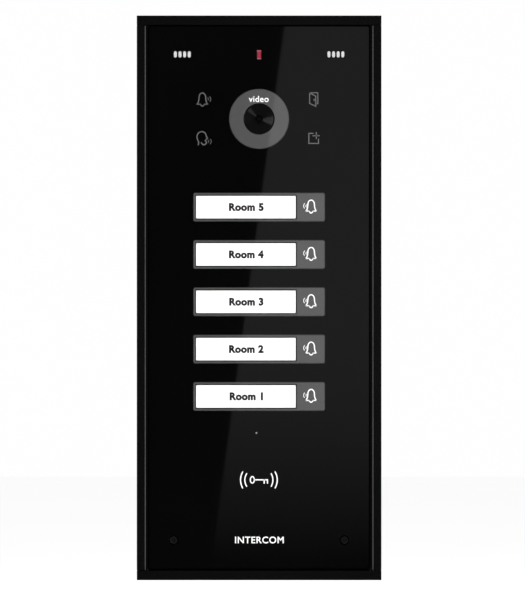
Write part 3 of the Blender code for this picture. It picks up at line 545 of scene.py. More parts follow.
def smooth_line(points, n=6, closed=False):
    """Rounded polyline through points (Catmull-Rom)."""
    p = [Vector(q) for q in points]
    out = []
    count = len(p) if closed else len(p) - 1
    for i in range(count):
        p0 = p[(i - 1) % len(p)] if (closed or i) else p[0]
        p1, p2 = p[i], p[(i + 1) % len(p)]
        p3 = p[(i + 2) % len(p)] if (closed or i + 2 < len(p)) else p[-1]
        for k in range(n):
            t = k / n
            out.append(tuple(0.5 * ((2 * p1) + (p2 - p0) * t + (2 * p0 - 5 * p1 + 4 * p2 - p3) * t * t
                                    + (3 * p1 - p0 - 3 * p2 + p3) * t ** 3)))
    if not closed:
        out.append(tuple(p[-1]))
    return out


def words(text, height, centre, y, name, look, body, weight=0.0, spacing=1.0):
    """Plain sans-serif lettering of a given capital height, centred, standing off the surface at y."""
    curve = bpy.data.curves.new(name, "FONT")
    curve.body = text
    curve.align_x = "CENTER"
    curve.size = 1.0
    curve.space_character = spacing
    curve.resolution_u = 4
    curve.offset = weight
    holder = bpy.data.objects.new(name + "_text", curve)
    scene.collection.objects.link(holder)
    bpy.context.view_layer.update()
    flat = bpy.data.meshes.new_from_object(holder.evaluated_get(bpy.context.evaluated_depsgraph_get()))
    bpy.data.objects.remove(holder)
    top = max(v.co.y for v in flat.vertices)
    low = min(v.co.y for v in flat.vertices)
    x0, x1 = min(v.co.x for v in flat.vertices), max(v.co.x for v in flat.vertices)
    k = height / (top - low)
    bm = bmesh.new()
    bm.from_mesh(flat)
    bmesh.ops.remove_doubles(bm, verts=bm.verts[:], dist=1e-5)
    for v in bm.verts:
        v.co = Vector((centre[0] + (v.co.x - (x0 + x1) / 2) * k, y - PRINT_T, centre[1] + (v.co.y - (top + low) / 2) * k))
    made = bmesh.ops.extrude_face_region(bm, geom=bm.faces[:])
    for v in (g for g in made["geom"] if isinstance(g, bmesh.types.BMVert)):
        v.co.y = y
    bmesh.ops.recalc_face_normals(bm, faces=bm.faces[:])
    bmesh.ops.scale(bm, verts=bm.verts[:], vec=(MM, MM, MM))
    mesh = bpy.data.meshes.new(name)
    bm.to_mesh(mesh)
    bm.free()
    bpy.data.meshes.remove(flat)
    return link(mesh, name, look, body, smooth=20.0)


def size_of(node):
    low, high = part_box(node)
    return [v / MM for v in low], [v / MM for v in high]


# ================================ CAD pieces that keep their shape =====================================
FINISH = {
    "rail": ["side_rail_left", "side_rail_right"],
    "cap": ["top_cap", "bottom_cap"],
    "plate": ["back_plate"],
    "carrier": ["carrier", "tamper_switch"],
    "foam": ["wall_gasket", "panel_gasket"],
    "rubber": ["cable_grommet", "mic_boot"],
    "zinc": ["lock_post_left", "lock_post_right", "hinge_bracket_left", "hinge_bracket_right", "board_screw_1",
             "board_screw_2", "board_screw_3", "board_screw_4"],
    "screw": ["cap_screw_top_left", "cap_screw_top_right", "cap_screw_bottom_left", "cap_screw_bottom_right",
              "front_screw_left", "front_screw_right"],
    "silicone": ["key_dome_1", "key_dome_2", "key_dome_3", "key_dome_4", "key_dome_5", "tamper_plunger"],
    "clear": ["status_guide_left", "status_guide_right"],
    "board": ["main_board", "light_board", "camera_module"],
    "copper": ["tag_reader_coil"],
    "red": ["sensor_window"],
    "white": ["sound_insert_left", "sound_insert_right"],
    "can": ["mic_capsule"],
    "speaker": ["speaker_left", "speaker_right"],
    "relay": ["lock_relay"],
    "terminal": ["terminal_block"],
    "ribbon": ["camera_ribbon"],
}
BODY_OF = {node: body for body, members in frame["record"]["behaviour"]["bodies"].items() for node in members}


def refine(node, look, sharp=32.0):
    """The node's own shape with clean shading: corners welded, round parts smooth, flats flat."""
    bm = bmesh.new()
    bm.from_mesh(NODES[node].data)
    bmesh.ops.remove_doubles(bm, verts=bm.verts[:], dist=2e-6)
    mesh = bpy.data.meshes.new(node + "_fine")
    bm.to_mesh(mesh)
    bm.free()
    for layer in ("custom_normal", "sharp_edge", "sharp_face"):
        if layer in mesh.attributes:
            mesh.attributes.remove(mesh.attributes[layer])
    obj = link(mesh, node + "_fine", look, BODY_OF[node], node, smooth=sharp)
    even = obj.modifiers.new("even", "WEIGHTED_NORMAL")
    even.keep_sharp = True
    even.weight = 100
    return obj


REPLACED = {"sensor_window", "sound_insert_left", "sound_insert_right", "front_screw_left", "front_screw_right"}
FINE = {}
for look, nodes in FINISH.items():
    for node in nodes:
        if node not in REPLACED:
            FINE[node] = refine(node, look)

# each silicone dome gets its own copy of its mesh
for number in range(1, 6):
    low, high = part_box(f"key_dome_{number}")
    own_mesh(FINE[f"key_dome_{number}"])

# ================================ parts on the boards ====================================================
BOARD_BACK = -17.4
CHOKE, PROCESSOR, MEMORY, READER = (12.0, 22.0, -66.0, -56.0), (-7.0, 7.0, -72.0, -58.0), (12.0, 18.0, -90.0, -80.0), (-24.0, -14.0, -95.0, -88.0)
board_mesh = FINE["main_board"].data
for look in ("chip", "can", "cream"):
    board_mesh.materials.append(LOOK[look])
for face in board_mesh.polygons:
    c = face.center / MM
    if c.y > BOARD_BACK + 0.05:
        if c.z > 68.0 and abs(c.x) < 6.2:
            face.material_index = 3
        elif min(math.hypot(c.x - x, c.z + 84.0) for x in (30.0, 38.0)) < 3.4:
            face.material_index = 2
        else:
            face.material_index = 1


def pins(bm):
    """Bent legs of the chips, each a foot on the board and a riser into the package."""
    def leg(x, z, dx, dz):
        along, across = (0.62, 0.19) if dx else (0.19, 0.62)
        cx, cz = x + dx * 0.6, z + dz * 0.6
        box(bm, cx - along, cx + along, BOARD_BACK, BOARD_BACK + 0.22, cz - across, cz + across)
        rx, rz = x + dx * 0.16, z + dz * 0.16
        along, across = (0.18, 0.19) if dx else (0.19, 0.18)
        box(bm, rx - along, rx + along, BOARD_BACK + 0.2, BOARD_BACK + 0.85, rz - across, rz + across)

    for (x0, x1, z0, z1), pitch, sides in ((PROCESSOR, 0.8, "xz"), (MEMORY, 1.2, "x"), (READER, 0.95, "z")):
        if "x" in sides:
            count = int((z1 - z0 - 1.2) / pitch) + 1
            for i in range(count):
                z = (z0 + z1) / 2 + (i - (count - 1) / 2) * pitch
                leg(x0, z, -1, 0)
                leg(x1, z, 1, 0)
        if "z" in sides:
            count = int((x1 - x0 - 1.2) / pitch) + 1
            for i in range(count):
                x = (x0 + x1) / 2 + (i - (count - 1) / 2) * pitch
                leg(x, z0, 0, -1)
                leg(x, z1, 0, 1)
    for i in range(10):                                   # flat-cable contacts
        box(bm, -4.5 + i - 0.16, -4.5 + i + 0.16, BOARD_BACK, BOARD_BACK + 0.2, 67.2, 68.5)


link(mesh_of(pins, "chip_legs"), "chip_legs", "solder", "front_unit")

TAKEN = [CHOKE, PROCESSOR, MEMORY, READER, (26.0, 42.0, -88.5, -79.5), (-21.5, 21.5, -18.5, -5.0), (-41.5, -28.5, -57.5, -34.5),
         (-49.0, -39.0, 55.0, 65.0), (-7.5, 7.5, 66.0, 78.0), (-50.0, -42.0, 68.0, 78.0), (42.0, 50.0, 68.0, 78.0),
         (-50.0, -42.0, -118.0, -108.0), (42.0, 50.0, -118.0, -108.0)]
spots = []
for cx, cz, cols, rows in ((0.0, -50.5, 6, 2), (0.0, -79.5, 6, 2), (-13.0, -65.0, 2, 5), (27.0, -61.0, 2, 4), (-19.0, -102.0, 4, 2),
                           (-34.0, -28.0, 4, 2), (0.0, -26.5, 8, 2), (15.0, -98.0, 3, 2), (0.0, 60.0, 5, 2), (-34.0, 60.0, 2, 3), (34.0, 10.0, 2, 5),
                           (-34.0, 20.0, 2, 4), (34.0, -96.0, 3, 2)):
    for i in range(cols):
        for j in range(rows):
            x, z = cx + (i - (cols - 1) / 2) * 3.1, cz + (j - (rows - 1) / 2) * 2.5
            if all(x < a - 1.6 or x > b + 1.6 or z < c - 1.2 or z > d + 1.2 for a, b, c, d in TAKEN):
                spots.append((x, z, (i * 7 + j * 5 + int(cx + 50)) % 3))


def small_parts(kind):
    def fill(bm):
        for x, z, which in spots:
            if which == kind or (kind == 3):
                if kind == 3:                             # soldered ends
                    for side in (-1, 1):
                        box(bm, x + side * 0.98 - 0.22, x + side * 0.98 + 0.22, BOARD_BACK, BOARD_BACK + 0.42, z - 0.42, z + 0.42)
                else:
                    top = (0.38, 0.62, 0.38)[kind]
                    loft(bm, [(BOARD_BACK, rounded(1.7, 0.78, 0.04, 1, x, z)), (BOARD_BACK + top - 0.05, rounded(1.7, 0.78, 0.04, 1, x, z)),
                              (BOARD_BACK + top, rounded(1.6, 0.68, 0.04, 1, x, z))])
    return fill


for kind, look in ((0, "chip"), (1, "tan"), (2, "chip"), (3, "solder")):
    name = ("resistors", "capacitors", "diodes", "solder_ends")[kind]
    link(mesh_of(small_parts(kind), name), name, look, "front_unit")


def test_pads(bm):
    for i in range(6):
        loft(bm, [(BOARD_BACK, circle(0.7, 16, 30.0 + 2.4 * i, -110.0)), (BOARD_BACK + 0.08, circle(0.62, 16, 30.0 + 2.4 * i, -110.0))])


link(mesh_of(test_pads, "test_pads"), "test_pads", "solder", "front_unit")

# beads of sealing cord that close the narrow gap between the rear plate and the two end caps
for side, label in ((1, "top"), (-1, "bottom")):
    plate = size_of("back_plate")
    inner = size_of("top_cap")[0][2] if side > 0 else size_of("bottom_cap")[1][2]
    edge_z = plate[1][2] if side > 0 else plate[0][2]

    def bead(bm):
        z0, z1 = sorted((edge_z + 0.01 * side, inner - 0.01 * side))
        box(bm, -62.4, 62.4, -2.2, -0.5, z0, z1)

    link(mesh_of(bead, f"plate_bead_{label}"), f"plate_bead_{label}", "rubber", "housing")

# ================================ front sheet ===========================================================
panel_low, panel_high = size_of("front_panel")
P_FRONT, P_BACK = panel_low[1], panel_high[1]
P_MID = (panel_low[2] + panel_high[2]) / 2
KEY_ZS = []
for number in range(1, 6):
    low, high = size_of(f"call_key_{number}")
    KEY_ZS.append((number, (low[2] + high[2]) / 2))
KEY_W, KEY_H, KEY_R = 69.8, 15.1, 1.0
RING_R = 15.85
ring_low, ring_high = size_of("ring_window")
CAM_Z = (ring_low[2] + ring_high[2]) / 2
SLOT_Z = sum(size_of("sound_insert_left")[i][2] for i in (0, 1)) / 2
SLOT_X = sum(size_of("sound_insert_right")[i][0] for i in (0, 1)) / 2
SCREW_X = sum(size_of("front_screw_right")[i][0] for i in (0, 1)) / 2
SCREW_Z = sum(size_of("front_screw_right")[i][2] for i in (0, 1)) / 2
SENSOR_Z = sum(size_of("sensor_window")[i][2] for i in (0, 1)) / 2
SENSOR_X = sum(size_of("sensor_window")[i][0] for i in (0, 1)) / 2
MIC_X = sum(size_of("mic_boot")[i][0] for i in (0, 1)) / 2
MIC_Z = sum(size_of("mic_boot")[i][2] for i in (0, 1)) / 2
COIL_Z = sum(size_of("tag_reader_coil")[i][2] for i in (0, 1)) / 2
PITCH = 2.45


def slots(side):
    return [side * SLOT_X + PITCH * (i - 1.5) for i in range(4)]


outlines = [rounded(panel_high[0] - panel_low[0], panel_high[2] - panel_low[2], 1.0, 6, 0, P_MID)]
for _, z in KEY_ZS:
    outlines.append(rounded(KEY_W + 0.6, KEY_H + 0.6, KEY_R + 0.3, 8, 0, z))
outlines.append(circle(RING_R + 0.3, 128, 0, CAM_Z))
for side in (-1, 1):
    for x in slots(side):
        outlines.append(rounded(2.05, 3.7, 1.02, 8, x, SLOT_Z))
    outlines.append(circle(2.6, 48, side * SCREW_X, SCREW_Z))
outlines.append(rounded(2.45, 4.95, 0.25, 3, SENSOR_X, SENSOR_Z))
outlines.append(circle(0.75, 32, MIC_X, MIC_Z))
link(sheet_with_holes("glass_sheet", outlines, P_FRONT, P_BACK, 0.04), "glass_sheet", "glass", "front_unit",
     "front_panel", smooth=25.0)


# countersunk rim of the microphone hole, with a fine metal gauze in it; its pale grey is partly the gauze's own colour
# and partly a painted glint
def mic_rim(bm):
    lathe(bm, [(0.5, P_FRONT + 0.1), (0.5, P_FRONT + 0.6), (0.71, P_FRONT + 0.6), (0.71, P_FRONT + 0.04),
               (0.69, P_FRONT + 0.01), (0.64, P_FRONT)], (MIC_X, MIC_Z), 48)


def mic_gauze(bm):
    lathe(bm, [(0.0, P_FRONT + 0.16), (0.25, P_FRONT + 0.18), (0.47, P_FRONT + 0.24), (0.47, P_FRONT + 0.5), (0.0, P_FRONT + 0.5)],
          (MIC_X, MIC_Z), 48, closed=False)


link(mesh_of(mic_rim, "mic_rim"), "mic_rim", "mic", "front_unit")
link(mesh_of(mic_gauze, "mic_gauze"), "mic_gauze", "gauze", "front_unit")


# red window: a gridded filter between two bars whose paler red is a painted highlight along its top and bottom edges
def red_filter_piece(bm):
    x, z = SENSOR_X, SENSOR_Z
    loft(bm, [(P_FRONT + 0.14, rounded(1.95, 3.5, 0.1, 2, x, z)), (P_FRONT + 0.18, rounded(2.05, 3.6, 0.1, 2, x, z)),
              (-29.1, rounded(2.05, 3.6, 0.1, 2, x, z))])


def red_highlight_bars(bm):
    x = SENSOR_X
    for side in (-1, 1):
        z = SENSOR_Z + side * 2.08
        loft(bm, [(P_FRONT + 0.06, rounded(2.16, 0.5, 0.12, 3, x, z)), (P_FRONT + 0.1, rounded(2.26, 0.58, 0.14, 3, x, z)),
                  (-29.2, rounded(2.26, 0.58, 0.14, 3, x, z))])


link(mesh_of(red_filter_piece, "sensor_window_fine"), "sensor_window_fine", "red", "front_unit", "sensor_window")
link(mesh_of(red_highlight_bars, "sensor_window_highlight_bars"), "sensor_window_highlight_bars", "red_rim_painted_highlight", "front_unit")

# ================================ camera ring, funnel and lens ===========================================


def ring(bm):
    f = P_FRONT
    lathe(bm, [(8.3, f + 0.1), (8.4, f + 0.0), (RING_R - 0.25, f + 0.0), (RING_R - 0.07, f + 0.07), (RING_R, f + 0.25),
               (RING_R, -29.9), (17.6, -29.9), (17.6, -29.1), (8.3, -29.1)], (0, CAM_Z), 160)


link(mesh_of(ring, "ring_window_fine"), "ring_window_fine", "ring", "front_unit", "ring_window")


def funnel(bm):
    steps = []
    # fine turned steps down the funnel
    y0, y1, r0, r1 = -32.95, -29.65, 7.42, 2.05
    count = 18
    for i in range(count + 1):
        t = i / count
        r, y = r0 + (r1 - r0) * t, y0 + (y1 - y0) * t
        steps.append((r, y))
        if i < count:
            steps.append((r - 0.22, y + 0.1))
    lathe(bm, [(8.0, -25.1), (8.0, -32.75), (7.9, -32.92), (7.75, -33.0), (7.5, -33.0), *steps, (2.0, -29.55), (2.0, -23.0),
               (6.0, -23.0), (6.0, -23.7), (11.0, -23.7), (11.0, -25.1)], (0, CAM_Z), 128)


link(mesh_of(funnel, "lens_funnel"), "lens_funnel", "funnel", "front_unit", smooth=50.0)


def holder_rear(bm):
    """Ears on the carrier's pins and the four feet of the camera board."""
    for side in (-1, 1):
        outline = rounded(14.0, 6.0, 2.9, 8, side * 17.0, CAM_Z)
        hole = circle(1.2, 36, side * 21.3, CAM_Z)
        rings = [[bm.verts.new((x, y, z)) for x, z in o] for o in (outline, hole) for y in (-25.0, -23.8)]
        for a, b in ((rings[0], rings[1]), (rings[2], rings[3])):
            for i in range(36):
                j = (i + 1) % 36
                bm.faces.new((a[i], a[j], b[j], b[i]))
        for a, b in ((rings[0], rings[2]), (rings[1], rings[3])):
            shift = min(range(36), key=lambda s: sum((a[i].co - b[(i + s) % 36].co).length for i in range(0, 36, 3)))
            for i in range(36):
                j = (i + 1) % 36
                bm.faces.new((a[i], a[j], b[(j + shift) % 36], b[(i + shift) % 36]))
    for x in (-7.6, 7.6):
        for z in (CAM_Z - 7.6, CAM_Z + 7.6):
            loft(bm, [(-24.4, circle(1.3, 24, x, z)), (-17.3, circle(1.3, 24, x, z)), (-17.3, circle(0.6, 24, x, z)),
                      (-15.3, circle(0.6, 24, x, z)), (-15.2, circle(0.5, 24, x, z))])


link(mesh_of(holder_rear, "camera_holder_rear"), "camera_holder_rear", "carrier", "front_unit", "camera_holder")


def lens(bm):
    profile = [(0.0, -28.6)]
    for i in range(1, 9):
        a = math.radians(38.0 * i / 8)
        profile.append((2.2 * math.sin(a), -28.6 + 2.2 * (1 - math.cos(a))))
    r = profile[-1][0]
    profile += [(r, -27.8), (1.7, -27.8), (1.7, -23.4), (0.0, -23.4)]
    lathe(bm, profile, (0, CAM_Z), 64, closed=False)


link(mesh_of(lens, "pinhole_lens"), "pinhole_lens", "lens", "front_unit", "camera_lens")


# ================================ screws of the front ====================================================
def fine_screw(name, node, side):
    x, z = side * SCREW_X, SCREW_Z

    def head(bm):
        star = []
        for i in range(72):
            a = 2 * math.pi * i / 72
            star.append((x + (1.02 + 0.17 * math.cos(6 * a)) * math.cos(a), z + (1.02 + 0.17 * math.cos(6 * a)) * math.sin(a)))

        def round_at(r):
            return [(x + r * math.cos(2 * math.pi * i / 72), z + r * math.sin(2 * math.pi * i / 72)) for i in range(72)]

        levels = [(-31.5, star), (-32.88, star), (-32.9, round_at(1.3)), (-32.9, round_at(1.55)), (-32.83, round_at(1.8)),
                  (-32.68, round_at(2.02)), (-32.45, round_at(2.18)), (-32.15, round_at(2.25)), (-30.9, round_at(2.25)), (-30.9, round_at(1.25)),
                  (-19.7, round_at(1.25)), (-19.0, round_at(0.8))]
        loft(bm, levels)
        # pin in the middle of the socket
        loft(bm, [(-31.5, circle(0.32, 20, x, z)), (-32.6, circle(0.32, 20, x, z)), (-32.66, circle(0.25, 20, x, z))])

    link(mesh_of(head, name), name, "screw", "front_unit", node, smooth=35.0)


fine_screw("front_screw_left_fine", "front_screw_left", -1)
fine_screw("front_screw_right_fine", "front_screw_right", 1)


# ================================ sound slots =============================================================
def slot_insert(side, name, node):
    def fill(bm):
        loft(bm, [(-29.9, rounded(12.4, 7.2, 1.0, 6, side * SLOT_X, SLOT_Z)),
                  (-29.1, rounded(12.4, 7.2, 1.0, 6, side * SLOT_X, SLOT_Z))])
        for x in slots(side):
            front = P_FRONT + 0.1
            loft(bm, [(front, rounded(1.4, 3.1, 0.68, 8, x, SLOT_Z)), (front + 0.06, rounded(1.55, 3.25, 0.75, 8, x, SLOT_Z)),
                      (front + 0.16, rounded(1.62, 3.32, 0.8, 8, x, SLOT_Z)), (-29.4, rounded(1.62, 3.32, 0.8, 8, x, SLOT_Z))])

    link(mesh_of(fill, name), name, "white", "front_unit", node)


slot_insert(-1, "sound_insert_left_fine", "sound_insert_left")
slot_insert(1, "sound_insert_right_fine", "sound_insert_right")


# ================================ printed symbols ==========================================================
def symbol(name, strokes, width, look, body, y, at=(0.0, 0.0), scale=1.0):
    def fill(bm):
        for item in strokes:
            points, closed = item if isinstance(item, tuple) and isinstance(item[1], bool) else (item, False)
            stroke(bm, [(at[0] + p[0] * scale, at[1] + p[1] * scale) for p in points], width, y, closed)

    return link(mesh_of(fill, name), name, look, body, smooth=20.0)


BELL_SIDE = [(3.05, 0.0), (2.55, 0.45), (2.12, 1.2), (1.86, 2.2), (1.74, 3.4), (1.58, 4.55), (0.98, 5.5), (0.0, 5.9)]
BELL_BODY = smooth_line([(-x, z) for x, z in BELL_SIDE] + BELL_SIDE[-2::-1], 4)


def bell(waves):
    """Outline of a hand bell, and two sound arcs on one side of it (waves is -1 or 1)."""
    out = [BELL_BODY, [(-3.05, 0.0), (-1.0, 0.15)], smooth_line([(-1.0, 0.15), (-0.68, -0.55), (0.0, -0.95), (0.68, -0.55), (1.0, 0.15)], 4),
           [(1.0, 0.15), (3.05, 0.0)]]
    arcs = [bow((waves * 2.75, 3.45), (waves * 3.05, 2.8), (waves * 2.85, 2.15)),
            bow((waves * 3.75, 4.05), (waves * 4.3, 2.8), (waves * 3.9, 1.45))]
    return out, arcs


HEAD = smooth_line([(-2.3, -3.4), (-1.95, -2.2), (-2.65, -0.6), (-2.95, 1.1), (-2.3, 2.7), (-1.0, 3.45), (0.3, 3.5),
                    (1.45, 2.95), (2.1, 1.9), (2.25, 0.95), (2.95, 0.1), (2.35, -0.45), (1.45, -1.3)], 4)
JAW = smooth_line([(1.45, -1.3), (2.25, -1.9), (2.15, -2.75), (0.7, -3.45), (-0.55, -2.3)], 4)
TALK = [[(x * 0.95, z) for x, z in line] for line in (HEAD, JAW)]
TALK_WAVES = [bow((3.15, -1.15), (3.4, -1.75), (3.15, -2.4)), bow((4.25, -0.6), (4.8, -1.75), (4.2, -3.1))]
DOOR = [[(-2.2, 3.6), (2.15, 3.6), (2.15, -2.25), (1.3, -2.25)],
        ([(-2.2, 3.5), (1.05, 1.8), (1.05, -3.6), (-2.2, -2.05)], True), bow((0.25, 0.2), (0.2, -0.15), (0.25, -0.5))]
SQUARE = [[(-0.45, 2.5), (-2.6, 2.5), (-2.6, -2.85), (2.5, -2.85), (2.5, -0.5)], [(-0.45, 1.25), (2.95, 1.25)], [(1.36, 2.95), (1.36, -0.3)]]
TAG_KEY = [(arc(-3.6, 0.05, 1.08, 0, 345, 22, 1.72), True), [(-2.4, 0.05), (4.45, 0.05), (4.45, -1.75)], [(2.7, 0.05), (2.7, -1.75)],
           bow((-6.6, 3.3), (-7.6, 0.0), (-6.6, -3.4)), bow((-8.75, 4.25), (-9.85, 0.0), (-8.75, -4.3)),
           bow((6.45, 3.3), (7.35, 0.0), (6.45, -3.4)), bow((8.55, 4.25), (9.65, 0.0), (8.55, -4.3))]

G = P_FRONT - 0.004
outline, arcs = bell(1)
symbol("icon_bell", outline, 0.53, "print_grey", "front_unit", G, (-30.15, 102.85), 1.02)
symbol("icon_bell_waves", arcs, 0.3, "print_grey", "front_unit", G, (-30.0, 102.9), 1.0)
symbol("icon_talk", TALK, 0.53, "print_grey", "front_unit", G, (-30.2, 84.75), 1.0)
symbol("icon_talk_waves", TALK_WAVES, 0.3, "print_grey", "front_unit", G, (-30.2, 84.9), 1.0)
symbol("icon_door", DOOR, 0.55, "print_grey", "front_unit", G, (29.05, 105.4), 1.0)
symbol("icon_add", SQUARE, 0.58, "print_grey", "front_unit", G, (29.05, 84.9), 1.0)
symbol("tag_symbol", TAG_KEY, 0.6, "print_white", "front_unit", G, (0.0, COIL_Z - 0.05), 1.0)
words("INTERCOM", 3.6, (0.15, SCREW_Z + 0.15), G, "front_word", "print_white", "front_unit", weight=0.012, spacing=1.08)

words("video", 3.3, (-0.2, CAM_Z + 10.6), G, "ring_word", "print_white", "front_unit", weight=0.01, spacing=1.05)

# ================================ call keys =================================================================
CARD_W, CARD_H, CARD_X = 52.9, 11.95, -7.0
GROOVE = 0.58                 # gap shown round the card
for number, z in KEY_ZS:
    body = f"call_key_{number}_body"
    low, high = size_of(f"call_key_{number}")
    F = low[1]

    def cap(bm):
        hole_w, hole_h = CARD_W + 2 * GROOVE, CARD_H + 2 * GROOVE
        n = 6
        outer = [(-29.9 + 1.3, rounded(KEY_W + 2.4, KEY_H + 2.4, KEY_R, n, 0, z)), (-29.9, rounded(KEY_W + 2.4, KEY_H + 2.4, KEY_R, n, 0, z)),
                 (-29.9, rounded(KEY_W, KEY_H, KEY_R, n, 0, z)), (F + 0.42, rounded(KEY_W, KEY_H, KEY_R, n, 0, z)),
                 (F + 0.22, rounded(KEY_W - 0.06, KEY_H - 0.06, KEY_R - 0.03, n, 0, z)),
                 (F + 0.07, rounded(KEY_W - 0.22, KEY_H - 0.22, KEY_R - 0.11, n, 0, z)),
                 (F, rounded(KEY_W - 0.5, KEY_H - 0.5, KEY_R - 0.25, n, 0, z)),
                 (F, rounded(hole_w + 0.16, hole_h + 0.16, 0.5, n, CARD_X, z)),
                 (F + 0.08, rounded(hole_w, hole_h, 0.42, n, CARD_X, z)),
                 (-32.0, rounded(hole_w, hole_h, 0.42, n, CARD_X, z))]
        loft(bm, outer)

    mesh = mesh_of(cap, f"key_cap_{number}")
    obj = link(mesh, f"key_cap_{number}", "key", body)
    # the pocket walls and floor round the card take the darker copy: painted shade in the recess
    mesh.materials.append(LOOK["recess_painted_shade"])
    for face in mesh.polygons:
        at = [mesh.vertices[i].co.y / MM for i in face.vertices]
        centre = face.center / MM
        inside = abs(centre.x - CARD_X) < CARD_W / 2 + GROOVE + 0.2 and abs(centre.z - z) < CARD_H / 2 + GROOVE + 0.2
        if inside and min(at) > F + 0.02:
            face.material_index = 1

    def stem(bm):
        loft(bm, [(-29.0, rounded(8.0, 8.0, 0.5, 4, 0, z)), (-22.4, rounded(8.0, 8.0, 0.5, 4, 0, z)), (-22.2, rounded(7.6, 7.6, 0.4, 4, 0, z))])
        for sx in (-1, 1):
            loft(bm, [(-29.0, rounded(50.0, 0.9, 0.2, 2, 0, z + sx * 5.2)), (-27.6, rounded(49.6, 0.7, 0.15, 2, 0, z + sx * 5.2))])

    link(mesh_of(stem, f"key_stem_{number}"), f"key_stem_{number}", "key", body, f"call_key_{number}")

    def card(bm):
        loft(bm, [(-32.3, rounded(CARD_W, CARD_H, 0.3, 4, CARD_X, z)), (-32.97, rounded(CARD_W, CARD_H, 0.3, 4, CARD_X, z)),
                  (-33.0, rounded(CARD_W - 0.06, CARD_H - 0.06, 0.3, 4, CARD_X, z))])

    link(mesh_of(card, f"name_card_face_{number}"), f"name_card_face_{number}", "card", body, f"name_card_{number}")
    words(f"Room {number}", 4.3, (CARD_X + 0.2, z + 0.05), -33.003, f"card_text_{number}", "ink", body, weight=0.057, spacing=1.09)
    outline, arcs = bell(-1)
    symbol(f"key_bell_{number}", outline, 0.6, "print_white", body, F - 0.004, (27.65, z - 2.15), 1.0)
    symbol(f"key_bell_waves_{number}", arcs, 0.34, "print_white", body, F - 0.004, (27.85, z - 2.0), 0.97)

# ================================ light and floor ============================================================


def glow(name, colour, strength):
    m = bpy.data.materials.new(name)
    m.use_nodes = True
    m.node_tree.nodes.clear()
    t = Tree(m.node_tree)
    shine = t.node("ShaderNodeEmission", {"Color": (*colour, 1.0), "Strength": strength})
    out = t.node("ShaderNodeOutputMaterial")
    t.l.new(shine.outputs[0], out.inputs[0])
    return m, t, shine


def area(name, at, aim, w, h, power, colour=(1, 1, 1), glossy=True, spread=180.0):
    data = bpy.data.lights.new(name, "AREA")
    data.shape = "RECTANGLE"
    data.size, data.size_y = w, h
    data.energy = power
    data.color = colour
    data.spread = math.radians(spread)
    lamp = bpy.data.objects.new(name, data)
    scene.collection.objects.link(lamp)
    lamp.location = at
    lamp.rotation_euler = (Vector(aim) - Vector(at)).to_track_quat("-Z", "Y").to_euler()
    lamp.visible_camera = False
    lamp.visible_glossy = glossy
    return lamp


# broad soft light for the matt surfaces
area("key_light", (-1.5, -1.9, 1.5), (0, 0, 0), 1.2, 1.2, 26.0, glossy=False)
area("fill_light", (1.8, -1.7, 0.7), (0, 0, 0), 1.2, 1.2, 22.0, glossy=False)
area("top_light", (0.0, -0.5, 2.0), (0, 0, 0), 1.4, 1.0, 14.0, glossy=False)
area("rear_light", (0.7, 2.2, 1.3), (0, 0, 0), 1.4, 1.0, 26.0, glossy=False)
area("rear_strip", (-1.3, 1.2, 0.5), (0, 0, 0), 0.5, 1.0, 5.0)
# softboxes that draw the edges and the funnel
area("left_strip", (-1.3, -0.16, 0.0), (0, -0.03, 0), 0.3, 0.9, 2.4)
area("right_strip", (1.3, -0.16, 0.0), (0, -0.03, 0), 0.3, 0.9, 2.4)
area("left_box", (-1.98, -1.0, 0.42), (0, 0, 0.095), 0.5, 1.3, 2.7)
area("right_box", (0.37, -0.25, -0.235), (0, -0.03, 0.095), 0.18, 0.18, 0.0017, spread=30.0)

# bright card in front of the sheet, seen only as a reflection: its slanting edge crosses the sheet
EDGE_TOP, EDGE_LOW = Vector((13.5, 144.4)), Vector((-20.8, -107.4))
CARD_D = 1.0
reach = (CAM_D + CARD_D) / CAM_D
cam_x, cam_z = camera.location.x / MM, camera.location.z / MM


def thrown(p):
    return ((cam_x + (p[0] - cam_x) * reach) * MM, (cam_z + (p[1] - cam_z) * reach) * MM)


slope = (EDGE_TOP.x - EDGE_LOW.x) / (EDGE_TOP.y - EDGE_LOW.y)
z_hi, z_lo, x_hi = 145.5, -160.0, 59.5
quad = [(EDGE_TOP.x + slope * (z_lo - EDGE_TOP.y), z_lo), (x_hi, z_lo), (x_hi, z_hi), (EDGE_TOP.x + slope * (z_hi - EDGE_TOP.y), z_hi)]
card_mesh = bpy.data.meshes.new("reflector")
card_y = FRONT_Y - CARD_D
card_mesh.from_pydata([(thrown(p)[0], card_y, thrown(p)[1]) for p in quad], [], [(0, 1, 2, 3)])
reflector = bpy.data.objects.new("reflector", card_mesh)
scene.collection.objects.link(reflector)
shine_mat, t, shine = glow("reflector", (1, 1, 1), 1.0)
place = t.node("ShaderNodeTexCoord").outputs["Object"]
height = t.node("ShaderNodeSeparateXYZ", {"Vector": place}).outputs[2]
ramp = t.node("ShaderNodeValToRGB")
t.l.new(t.spread(height, thrown((0, -145))[1], thrown((0, -20))[1], 0.0, 1.0), ramp.inputs[0])
stops = [(0.0, 0.03), (0.07, 0.05), (0.33, 0.15), (0.58, 0.24), (0.8, 0.29), (1.0, 0.31)]
ramp.color_ramp.elements[0].position, ramp.color_ramp.elements[1].position = stops[0][0], stops[-1][0]
ramp.color_ramp.elements[0].color = (*[stops[0][1]] * 3, 1.0)
ramp.color_ramp.elements[1].color = (*[stops[-1][1]] * 3, 1.0)
for position, value in stops[1:-1]:
    e = ramp.color_ramp.elements.new(position)
    e.color = (value, value, value, 1.0)
t.l.new(ramp.outputs[0], shine.inputs["Strength"])
card_mesh.materials.append(shine_mat)
for flag in ("visible_camera", "visible_diffuse", "visible_transmission", "visible_volume_scatter", "visible_shadow"):
    setattr(reflector, flag, False)
reflector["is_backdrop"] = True

floor_mesh = bpy.data.meshes.new("floor")
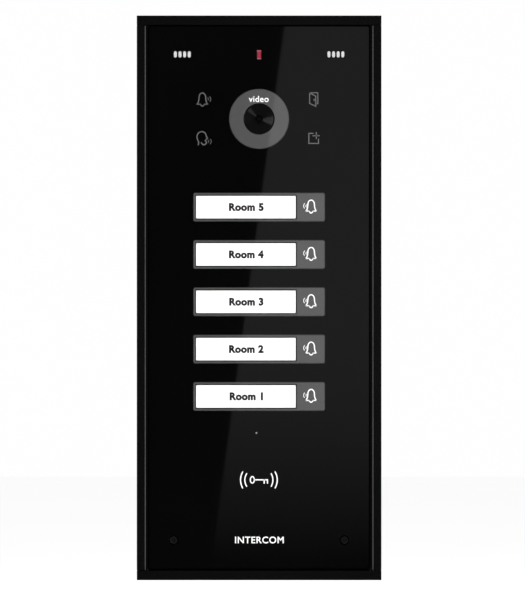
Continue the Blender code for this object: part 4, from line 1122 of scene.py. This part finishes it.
half, z = 7.0, cad_low.z - 0.11
floor_mesh.from_pydata([(-half, -half, z), (half, -half, z), (half, half, z), (-half, half, z)], [], [(0, 1, 2, 3)])
floor = bpy.data.objects.new("floor", floor_mesh)
scene.collection.objects.link(floor)
floor_mesh.materials.append(material("floor_paper", (0.86, 0.86, 0.86), 0.8, vary=0.01, vary_scale=3.0, rough_vary=0.02,
                                     emission=(1.0, 1.0, 1.0), strength=0.5))
floor.visible_glossy = False
floor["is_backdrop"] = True

world = bpy.data.worlds.new("studio")
scene.world = world
world.use_nodes = True
world.node_tree.nodes.clear()
t = Tree(world.node_tree)
direction = t.node("ShaderNodeTexCoord").outputs["Generated"]
axes = t.node("ShaderNodeSeparateXYZ", {"Vector": direction})
facing = t.spread(axes.outputs[1], -0.93, -0.6, 0.0, 1.0, smooth=True)
behind = t.spread(axes.outputs[1], 0.0, 0.35, 0.0, 1.0, smooth=True)
upward = t.spread(axes.outputs[2], 0.25, 0.85, 0.0, 1.0, smooth=True)
mirror_light = t.maths("ADD", t.maths("MULTIPLY", facing, 0.025), 0.03)
mirror_light = t.maths("ADD", mirror_light, t.maths("MULTIPLY", behind, 0.2))
overhead = t.spread(axes.outputs[1], -0.3, 0.1, 0.0, 1.0, smooth=True)
mirror_light = t.maths("ADD", mirror_light, t.maths("MULTIPLY", t.maths("MULTIPLY", upward, overhead), 0.25))
path = t.node("ShaderNodeLightPath")
amount = t.mix(path.outputs["Is Glossy Ray"], (0.55, 0.55, 0.55), (0.0, 0.0, 0.0))
as_grey = t.node("ShaderNodeCombineXYZ", {"X": mirror_light, "Y": mirror_light, "Z": mirror_light}).outputs[0]
amount = t.mix(path.outputs["Is Glossy Ray"], (0.55, 0.55, 0.55), as_grey)
amount = t.mix(path.outputs["Is Camera Ray"], amount, (0.995, 0.995, 0.995))
background = t.node("ShaderNodeBackground", {"Color": amount, "Strength": 1.0})
out = t.node("ShaderNodeOutputWorld")
t.l.new(background.outputs[0], out.inputs[0])

low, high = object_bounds()
